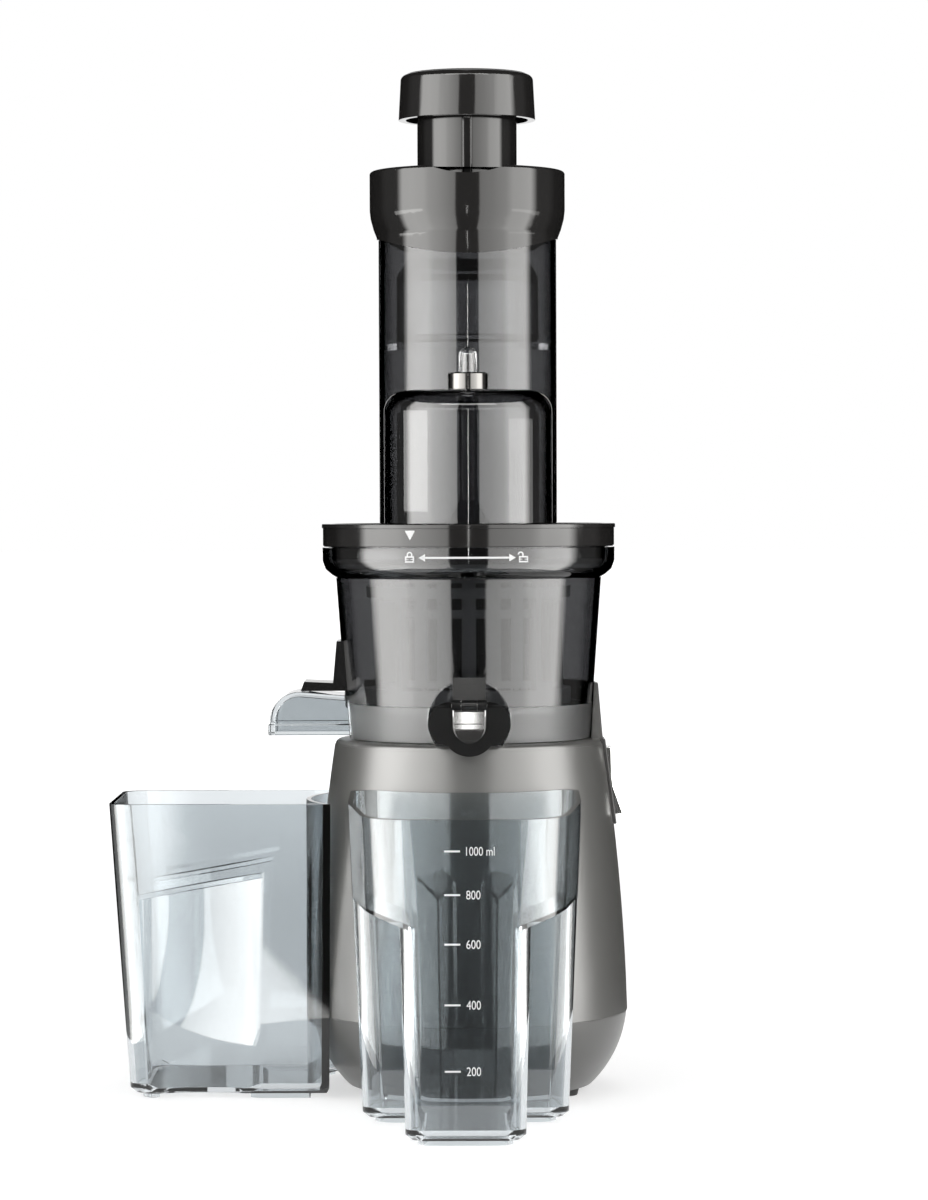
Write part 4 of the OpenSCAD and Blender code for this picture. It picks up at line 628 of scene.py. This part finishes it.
class JUICER_OT_bowl(bpy.types.Operator):
    """Juicing bowl with its foot ring, spout bracket, pulp way and printed lock marks"""
    bl_idname = "juicer.bowl"
    bl_label = "Bowl"

    def execute(self, context):
        bowl = dress("juicing_bowl", smoke_plastic(), edge=0.3 * MM)
        dress_all(frosted_plastic(), "bowl_foot_ring", edge=0.3 * MM)
        dress_all(rubber(), "bowl_seal", "pulp_packing", edge=0)
        dress_all(black_gloss(), "spout_bracket", "pulp_hood")
        dress_all(steel(), "cap_hinge_pin", "idler_pin", edge=0)
        dress_all(chute_plastic(), "pulp_chute", edge=0.5 * MM)
        print_on("lock_marks", self.marks(), bowl, "bowl")
        return {"FINISHED"}

    def marks(self):
        """Closed padlock, arrow both ways and open padlock."""
        line_z = 250.8 * MM
        shapes = [bar(-21 * MM, line_z - 0.45 * MM, 19.6 * MM, line_z + 0.45 * MM)]
        for tip, base in ((-22.8 * MM, -19.8 * MM), (21.4 * MM, 18.4 * MM)):
            corners = [(tip, line_z), (base, line_z - 1.7 * MM), (base, line_z + 1.7 * MM)]
            shapes.append(closed_shape(corners))
        for x, open_by in ((-26.9 * MM, 0), (24.9 * MM, 1.3 * MM)):
            shapes += self.padlock(x, line_z - 2.2 * MM, open_by)
        return shapes

    def padlock(self, x, z, open_by):
        half = 2.1 * MM
        line = 0.65 * MM
        height = 2.9 * MM
        bow = 1.35 * MM
        top = z + height
        shapes = [bar(x - half, z, x + half, z + line), bar(x - half, top - line, x + half, top)]
        for side in (-1, 1):
            edge = x + side * half
            shapes.append(bar(edge, z, edge - side * line, top))
            shapes.append(bar(x + side * 0.25 * half, z + 2 * line, x + side * 0.7 * half, top - 2 * line))
        middle = x - open_by
        shapes.append(arc_strip(middle, top + 0.7 * MM, bow - line, bow, 0, 180))
        shapes.append(bar(middle + bow - line, top, middle + bow, top + 0.7 * MM))
        if not open_by:
            shapes.append(bar(middle - bow, top, middle - bow + line, top + 0.7 * MM))
        return shapes


class JUICER_OT_press(bpy.types.Operator):
    """Strainer with its wires, wiper, auger and their gears"""
    bl_idname = "juicer.press"
    bl_label = "Press"

    def execute(self, context):
        dress_all(strainer_plastic(), "strainer_frame", "wiper_frame", edge=0)
        dress_all(rubber(), "wiper_blades", edge=0)
        dress_all(white_nylon(), "idler_gear", edge=0)
        dress_all(auger_plastic(), "auger", edge=0)
        self.wires()
        return {"FINISHED"}

    def wires(self):
        """The strainer's mesh: upright wires and hoops, laid by a node tree inside the node's own room."""
        _, sizes, _ = settings()
        low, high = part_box("strainer_mesh")
        radius = high.x - sizes.wire
        values = {
            "Radius": radius,
            "Bottom": low.z + sizes.wire,
            "Height": high.z - low.z - 2 * sizes.wire,
            "Uprights": round(2 * math.pi * radius / sizes.wire_pitch),
            "Hoops": round((high.z - low.z) / sizes.wire_pitch),
            "Wire": sizes.wire,
            "Material": strainer_wire(),
        }
        tree = self.wire_tree()
        holder = bpy.data.objects.new("wire_holder", bpy.data.meshes.new("wire_holder"))
        bpy.context.scene.collection.objects.link(holder)
        weave = holder.modifiers.new("wires", "NODES")
        weave.node_group = tree
        for item in tree.interface.items_tree:
            if item.in_out == "INPUT" and item.name in values:
                weave[item.identifier] = values[item.name]
        mesh = evaluated_mesh(holder, "strainer_mesh_wires")
        bpy.data.objects.remove(holder)
        put("strainer_wires", mesh, [strainer_wire()], BODY_OF["strainer_mesh"], SLOT_OF["strainer_mesh"],
            "strainer_mesh")

    def wire_tree(self):
        tree, inside, outside = new_group(
            "strainer_weave",
            [("Radius", "NodeSocketFloat", 0.04), ("Bottom", "NodeSocketFloat", 0.0),
             ("Height", "NodeSocketFloat", 0.05), ("Uprights", "NodeSocketInt", 200),
             ("Hoops", "NodeSocketInt", 40), ("Wire", "NodeSocketFloat", 0.0003),
             ("Material", "NodeSocketMaterial", None)],
            [("Mesh", "NodeSocketGeometry")], "GeometryNodeTree")
        link = tree.links.new

        def node(kind, **values):
            made = tree.nodes.new(kind)
            for label, value in values.items():
                socket = made.inputs[label.replace("_", " ")]
                if hasattr(value, "is_linked"):
                    link(value, socket)
                else:
                    socket.default_value = value
            return made

        def along_z(value):
            return node("ShaderNodeCombineXYZ", X=0.0, Y=0.0, Z=value).outputs[0]

        get = inside.outputs
        steps = math_node(tree, "SUBTRACT", get["Hoops"], 1.0)
        step = math_node(tree, "DIVIDE", get["Height"], steps)
        ring = node("GeometryNodeMeshCircle", Vertices=get["Uprights"], Radius=get["Radius"])
        upright = node("GeometryNodeCurvePrimitiveLine", Start=along_z(get["Bottom"]),
                       End=along_z(math_node(tree, "ADD", get["Bottom"], get["Height"])))
        uprights = node("GeometryNodeInstanceOnPoints", Points=ring.outputs["Mesh"],
                        Instance=upright.outputs["Curve"])
        ladder = node("GeometryNodeMeshLine", Count=get["Hoops"], Start_Location=along_z(get["Bottom"]),
                      Offset=along_z(step))
        hoop = node("GeometryNodeCurvePrimitiveCircle", Resolution=120, Radius=get["Radius"])
        hoops = node("GeometryNodeInstanceOnPoints", Points=ladder.outputs["Mesh"],
                     Instance=hoop.outputs["Curve"])
        both = tree.nodes.new("GeometryNodeJoinGeometry")
        link(uprights.outputs["Instances"], both.inputs[0])
        link(hoops.outputs["Instances"], both.inputs[0])
        lines = tree.nodes.new("GeometryNodeRealizeInstances")
        link(both.outputs[0], lines.inputs[0])
        section = node("GeometryNodeCurvePrimitiveCircle", Resolution=4,
                       Radius=math_node(tree, "MULTIPLY", get["Wire"], 0.5))
        body = node("GeometryNodeCurveToMesh", Curve=lines.outputs[0],
                    Profile_Curve=section.outputs["Curve"], Fill_Caps=True)
        whole = tree.nodes.new("GeometryNodeRealizeInstances")
        link(body.outputs["Mesh"], whole.inputs[0])
        painted = node("GeometryNodeSetMaterial", Geometry=whole.outputs[0], Material=get["Material"])
        link(painted.outputs[0], outside.inputs["Mesh"])
        return tree


class JUICER_OT_spout_cap(bpy.types.Operator):
    """Cap of the juice spout with its seal and tab"""
    bl_idname = "juicer.spout_cap"
    bl_label = "Spout cap"

    def execute(self, context):
        dress_all(cap_black(), "spout_cap")
        dress_all(grey_silicone(), "spout_seal")
        self.tab()
        return {"FINISHED"}

    def tab(self):
        """A tongue with a round foot: its upper half leans back, so that it shows the light from above."""
        low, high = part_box("cap_tab")
        half = (high.x - low.x) / 2
        middle = (high.x + low.x) / 2
        # Share of the height down from the top, and share of the depth out to the front
        rows = ((0.0, 0.35), (0.06, 0.3), (0.12, 0.36), (0.30, 0.62), (0.42, 0.84), (0.48, 0.98),
                (0.56, 1.0), (0.70, 1.0), (0.84, 0.98), (0.93, 0.9), (1.0, 0.72))
        depth = high.y - low.y
        height = high.z - low.z
        work = bmesh.new()
        front = []
        back = []
        for down, out in rows:
            z = high.z - down * height
            past = max(0.0, (low.z + half) - z) / half
            width = half * math.sqrt(max(1 - past * past, 0.04))
            lines = []
            for share in (-1, -0.93, -0.6, -0.2, 0.2, 0.6, 0.93, 1):
                pull = 0.45 if abs(share) == 1 else 0.0
                y = high.y - depth * max(out - pull, 0.12)
                lines.append(work.verts.new((middle + share * width, y, z)))
            front.append(lines)
            back.append([work.verts.new((corner.co.x, high.y, z)) for corner in lines])
        for n in range(len(rows) - 1):
            for k in range(7):
                work.faces.new((front[n][k], front[n + 1][k], front[n + 1][k + 1], front[n][k + 1]))
                work.faces.new((back[n][k], back[n][k + 1], back[n + 1][k + 1], back[n + 1][k]))
            work.faces.new((front[n][0], back[n][0], back[n + 1][0], front[n + 1][0]))
            work.faces.new((front[n][7], front[n + 1][7], back[n + 1][7], back[n][7]))
        for k in range(7):
            work.faces.new((front[0][k], front[0][k + 1], back[0][k + 1], back[0][k]))
            work.faces.new((front[-1][k], back[-1][k], back[-1][k + 1], front[-1][k + 1]))
        bmesh.ops.recalc_face_normals(work, faces=work.faces)
        mesh = bpy.data.meshes.new("cap_tab_mesh")
        work.to_mesh(mesh)
        work.free()
        piece = put("cap_tab_shell", mesh, [gloss_tab()], BODY_OF["cap_tab"], SLOT_OF["cap_tab"], "cap_tab")
        soften(piece, 0.12 * MM)


class JUICER_OT_lid(bpy.types.Operator):
    """Hopper with its lid ring, pivot, chute collar and printed triangle"""
    bl_idname = "juicer.lid"
    bl_label = "Lid"

    def execute(self, context):
        self.hopper()
        ring = dress("lid_ring", gloss_trim())
        dress_all(gloss_trim(), "chute_collar")
        dress_all(grey_silicone(), "lid_gasket", edge=0)
        dress_all(dark_chrome(), "pivot_boss", edge=0.2 * MM)
        dress_all(plain_clear(), "pivot_cap", edge=0)
        dress_all(black_plastic(), "pivot_core", edge=0)
        print_on("lid_mark", self.triangle(), ring, "lid")
        return {"FINISHED"}

    def hopper(self):
        """The hopper and its plate are one moulding, so one piece stands for both."""
        plate = bpy.data.objects.new("plate_part", node_mesh("lid_plate"))
        bpy.context.scene.collection.objects.link(plate)
        piece = put("hopper_shell", node_mesh("hopper"), [smoke_plastic()], BODY_OF["hopper"],
                    SLOT_OF["hopper"], "hopper", "lid_plate")
        join = piece.modifiers.new("one_moulding", "BOOLEAN")
        join.operation = "UNION"
        join.solver = "EXACT"
        join.object = plate
        apply_modifiers(piece)
        bpy.data.objects.remove(plate)
        if len(piece.data.polygons) < 100:
            raise RuntimeError("the hopper and its plate did not join")
        soften(piece, 0.4 * MM)

    def triangle(self):
        x = -26.7 * MM
        top = 263.2 * MM
        corners = [(x - 2.4 * MM, top), (x, top - 4.6 * MM), (x + 2.4 * MM, top)]
        return [closed_shape(rounded(corners, 0.7 * MM))]


class JUICER_OT_pusher(bpy.types.Operator):
    """Pusher: a dark cap and neck over a clear body"""
    bl_idname = "juicer.pusher"
    bl_label = "Pusher"

    def execute(self, context):
        dress_all(gloss_trim(), "pusher_cap")
        body = dress("pusher_body", pusher_clear())
        low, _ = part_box("chute_collar")
        seam = low.z + 6 * MM
        paint_above(body, seam, gloss_trim())
        return {"FINISHED"}


class JUICER_OT_tubs(bpy.types.Operator):
    """Juice jug with its printed scale, and pulp bin"""
    bl_idname = "juicer.tubs"
    bl_label = "Jug and bin"

    def execute(self, context):
        jug = dress("juice_jug", pale_plastic(), edge=0.5 * MM)
        dress("pulp_bin", pale_plastic(), edge=0.5 * MM)
        print_on("jug_scale", self.scale_marks(), jug, "jug")
        return {"FINISHED"}

    def scale_marks(self):
        _, sizes, _ = settings()
        shapes = []
        rows = (("1000 ml", 127.2, 12.2), ("800", 108.5, 6.1), ("600", 87.3, 6.1), ("400", 61.3, 6.1),
                ("200", 32.8, 6.1))
        for text, height, width in rows:
            z = height * MM
            shapes.append(bar(-11.1 * MM, z - 0.4 * MM, -4.3 * MM, z + 0.4 * MM))
            shapes.append(word(text, -1.7 * MM, z - sizes.digit_height / 2, width * MM, sizes.digit_height))
        return shapes


# Studio

def lamp(name, place, target, size, power):
    light = bpy.data.lights.new(name, "AREA")
    light.shape = "SQUARE"
    light.size = size
    light.energy = power
    stand = bpy.data.objects.new(name, light)
    stand.location = place
    stand.rotation_euler = (Vector(target) - Vector(place)).to_track_quat("-Z", "Y").to_euler()
    stand.visible_glossy = False
    bpy.context.scene.collection.objects.link(stand)


def seen_rays(tree):
    """1 for rays that show the background: seen directly, in gloss or through a clear wall."""
    path = tree.nodes.new("ShaderNodeLightPath")
    either = math_node(tree, "MAXIMUM", path.outputs["Is Camera Ray"], path.outputs["Is Glossy Ray"])
    return math_node(tree, "MAXIMUM", either, path.outputs["Is Transmission Ray"])


class JUICER_OT_studio(bpy.types.Operator):
    """Floor, lamps, softbox fronts for the gloss, surroundings and camera"""
    bl_idname = "juicer.studio"
    bl_label = "Studio"

    def execute(self, context):
        _, _, studio = settings()
        scene = context.scene
        scene.view_settings.view_transform = "Standard"
        self.floor()
        self.world(studio.ambient)
        self.reflectors(studio.reflectors)
        middle = (0, 0, 0.24)
        angle = math.radians(52)
        away = 1.5
        height = 0.55
        for name, side, share in (("lamp_left", -1, 0.8), ("lamp_right", 1, 1.1)):
            place = (side * away * math.sin(angle), -away * math.cos(angle), height)
            lamp(name, place, middle, 1.3, studio.lamps * share)
        lamp("lamp_top", (0, 0.1, 1.6), middle, 1.0, studio.lamps * 0.6)
        self.camera(studio)
        return {"FINISHED"}

    def floor(self):
        """A plain floor that is white to the camera and keeps the shadow."""
        bpy.ops.mesh.primitive_plane_add(size=40, location=(0, 0, 0))
        plane = bpy.context.object
        plane.name = "studio_floor"
        material = bpy.data.materials.new("studio_floor")
        material.use_nodes = True
        tree = material.node_tree
        shader = tree.nodes["Principled BSDF"]
        shader.inputs["Base Color"].default_value = (0.62, 0.62, 0.62, 1)
        shader.inputs["Roughness"].default_value = 0.9
        shader.inputs["Specular IOR Level"].default_value = 0.0
        shader.inputs["Emission Color"].default_value = (1, 1, 1, 1)
        place = tree.nodes.new("ShaderNodeTexCoord")
        away = tree.nodes.new("ShaderNodeVectorMath")
        away.operation = "LENGTH"
        tree.links.new(place.outputs["Object"], away.inputs[0])
        glow = map_range(tree, away.outputs["Value"], 0.5, 2.0, 0.56, 1.0, smooth=True)
        seen_glow = math_node(tree, "MULTIPLY", glow, seen_rays(tree))
        tree.links.new(seen_glow, shader.inputs["Emission Strength"])
        plane.data.materials.append(material)

    def world(self, level):
        world = bpy.data.worlds.new("studio_world")
        bpy.context.scene.world = world
        world.use_nodes = True
        tree = world.node_tree
        tree.nodes.clear()
        output = tree.nodes.new("ShaderNodeOutputWorld")
        back = tree.nodes.new("ShaderNodeBackground")
        back.inputs["Color"].default_value = (1, 1, 1, 1)
        strength = map_range(tree, seen_rays(tree), 0, 1, level, 1.0)
        tree.links.new(strength, back.inputs["Strength"])
        tree.links.new(back.outputs[0], output.inputs["Surface"])

    def reflectors(self, level):
        """A round wall, ceiling and floor edge of softbox fronts and dark flags that only gloss shows."""
        radius = 0.75
        top = 0.85
        floor_share = 0.36
        floor_gap = 0.002
        open_behind = 12
        work = bmesh.new()
        rows = []
        steps = 96
        for n in range(steps + 1):
            turn = math.radians(-180 + open_behind + (360 - 2 * open_behind) * n / steps)
            x, y = radius * math.sin(turn), -radius * math.cos(turn)
            rows.append([work.verts.new((x * share, y * share, z))
                         for share, z in ((floor_share, floor_gap), (1, floor_gap), (1, top))])
        middle = work.verts.new((0, 0, top))
        for left, right in zip(rows, rows[1:]):
            work.faces.new((left[0], left[1], right[1], right[0]))
            work.faces.new((left[1], left[2], right[2], right[1]))
            work.faces.new((left[2], middle, right[2]))
        mesh = bpy.data.meshes.new("studio_reflectors")
        work.to_mesh(mesh)
        work.free()
        wall = bpy.data.objects.new("studio_reflectors", mesh)
        bpy.context.scene.collection.objects.link(wall)
        for kind in ("camera", "diffuse", "shadow", "volume_scatter"):
            setattr(wall, "visible_" + kind, False)
        mesh.materials.append(self.reflector_light(level, top))

    def reflector_light(self, level, top):
        """Brightness by direction: 0 is behind the camera, minus is to its left, in degrees."""
        stops = ((-180, 0.0), (-125, 0.0), (-112, 0.02), (-92, 0.03), (-84, 0.90), (-70, 1.0),
                 (-54, 0.96), (-48, 0.80), (-34, 0.66), (-25, 0.54), (-15.5, 0.42), (-14, 0.012),
                 (14, 0.012), (15.5, 0.38), (30, 0.46), (48, 0.60), (57, 0.84), (82, 0.88),
                 (92, 0.03), (112, 0.02), (125, 0.0), (180, 0.0))
        material = bpy.data.materials.new("softbox_fronts")
        material.use_nodes = True
        tree = material.node_tree
        tree.nodes.clear()
        output = tree.nodes.new("ShaderNodeOutputMaterial")
        light = tree.nodes.new("ShaderNodeEmission")
        place = tree.nodes.new("ShaderNodeTexCoord")
        parts = tree.nodes.new("ShaderNodeSeparateXYZ")
        tree.links.new(place.outputs["Object"], parts.inputs[0])
        x, y, z = parts.outputs
        turned = math_node(tree, "ARCTAN2", x, math_node(tree, "MULTIPLY", y, -1.0))
        curve = tree.nodes.new("ShaderNodeFloatCurve")
        line = curve.mapping.curves[0]
        while len(line.points) < len(stops):
            line.points.new(0.5, 0.5)
        for point, (angle, value) in zip(line.points, stops):
            point.location = ((angle + 180) / 360, value)
            point.handle_type = "VECTOR"
        curve.mapping.update()
        tree.links.new(map_range(tree, turned, -math.pi, math.pi, 0, 1), curve.inputs["Value"])
        below_ceiling = math_node(tree, "LESS_THAN", z, top - 0.01)
        fronts = math_node(tree, "MULTIPLY", curve.outputs[0], below_ceiling)
        # Slit, overhead, left window and right window: left, right, low, high and share of the level
        patches = ((-0.3, 0.3, 0.15, 0.42, 1.6), (-40, 40, 0.70, 0.84, 0.8),
                   (-97, -56, 0.270, 0.345, 0.45), (56, 97, 0.262, 0.33, 0.2))
        total = fronts
        for left, right, low, high, share in patches:
            inside = math_node(tree, "GREATER_THAN", turned, math.radians(left))
            for operation, value, limit in (("LESS_THAN", turned, math.radians(right)),
                                            ("GREATER_THAN", z, low), ("LESS_THAN", z, high)):
                inside = math_node(tree, "MULTIPLY", inside, math_node(tree, operation, value, limit))
            total = math_node(tree, "ADD", total, math_node(tree, "MULTIPLY", inside, share))
        tree.links.new(math_node(tree, "MULTIPLY", total, level), light.inputs["Strength"])
        light.inputs["Color"].default_value = (1.0, 0.992, 0.97, 1)
        path = tree.nodes.new("ShaderNodeLightPath")
        through = tree.nodes.new("ShaderNodeBsdfTransparent")
        either = tree.nodes.new("ShaderNodeMixShader")
        tree.links.new(math_node(tree, "GREATER_THAN", path.outputs["Glossy Depth"], 0.5), either.inputs[0])
        tree.links.new(through.outputs[0], either.inputs[1])
        tree.links.new(light.outputs[0], either.inputs[2])
        tree.links.new(either.outputs[0], output.inputs["Surface"])
        return material

    def camera(self, studio):
        data = bpy.data.cameras.new("camera")
        data.lens = studio.lens
        data.sensor_width = 36
        camera = bpy.data.objects.new("camera", data)
        bpy.context.scene.collection.objects.link(camera)
        camera.location = (studio.camera_side, -studio.camera_distance, studio.camera_height)
        aim = Vector((studio.camera_side, 0, studio.aim_height)) - camera.location
        turned = aim.to_track_quat("-Z", "Y").to_matrix() @ Matrix.Rotation(studio.camera_roll, 3, "Z")
        camera.rotation_euler = turned.to_euler()
        bpy.context.scene.camera = camera


STEPS = (JUICER_OT_base, JUICER_OT_drive, JUICER_OT_switch, JUICER_OT_bowl, JUICER_OT_press,
         JUICER_OT_spout_cap, JUICER_OT_lid, JUICER_OT_pusher, JUICER_OT_tubs, JUICER_OT_studio)


class JUICER_PT_panel(bpy.types.Panel):
    """Lists the steps that build the juicer's looks"""
    bl_idname = "JUICER_PT_panel"
    bl_label = "Cold press juicer"
    bl_space_type = "VIEW_3D"
    bl_region_type = "UI"
    bl_category = "Juicer"

    def draw(self, context):
        for step in STEPS:
            self.layout.operator(step.bl_idname)
        scene = context.scene
        for group in (scene.juicer_colours, scene.juicer_sizes, scene.juicer_studio):
            for key in group.__annotations__:
                self.layout.prop(group, key)


GROUPS = (JuicerColours, JuicerSizes, JuicerStudio)


def register():
    for cls in (*GROUPS, *STEPS, JUICER_PT_panel):
        bpy.utils.register_class(cls)
    bpy.types.Scene.juicer_colours = bpy.props.PointerProperty(type=JuicerColours)
    bpy.types.Scene.juicer_sizes = bpy.props.PointerProperty(type=JuicerSizes)
    bpy.types.Scene.juicer_studio = bpy.props.PointerProperty(type=JuicerStudio)


def unregister():
    del bpy.types.Scene.juicer_studio
    del bpy.types.Scene.juicer_sizes
    del bpy.types.Scene.juicer_colours
    for cls in reversed((*GROUPS, *STEPS, JUICER_PT_panel)):
        bpy.utils.unregister_class(cls)


def main():
    register()
    for step in STEPS:
        group, call = step.bl_idname.split(".")
        getattr(getattr(bpy.ops, group), call)()


if __name__ == "__main__":
    main()
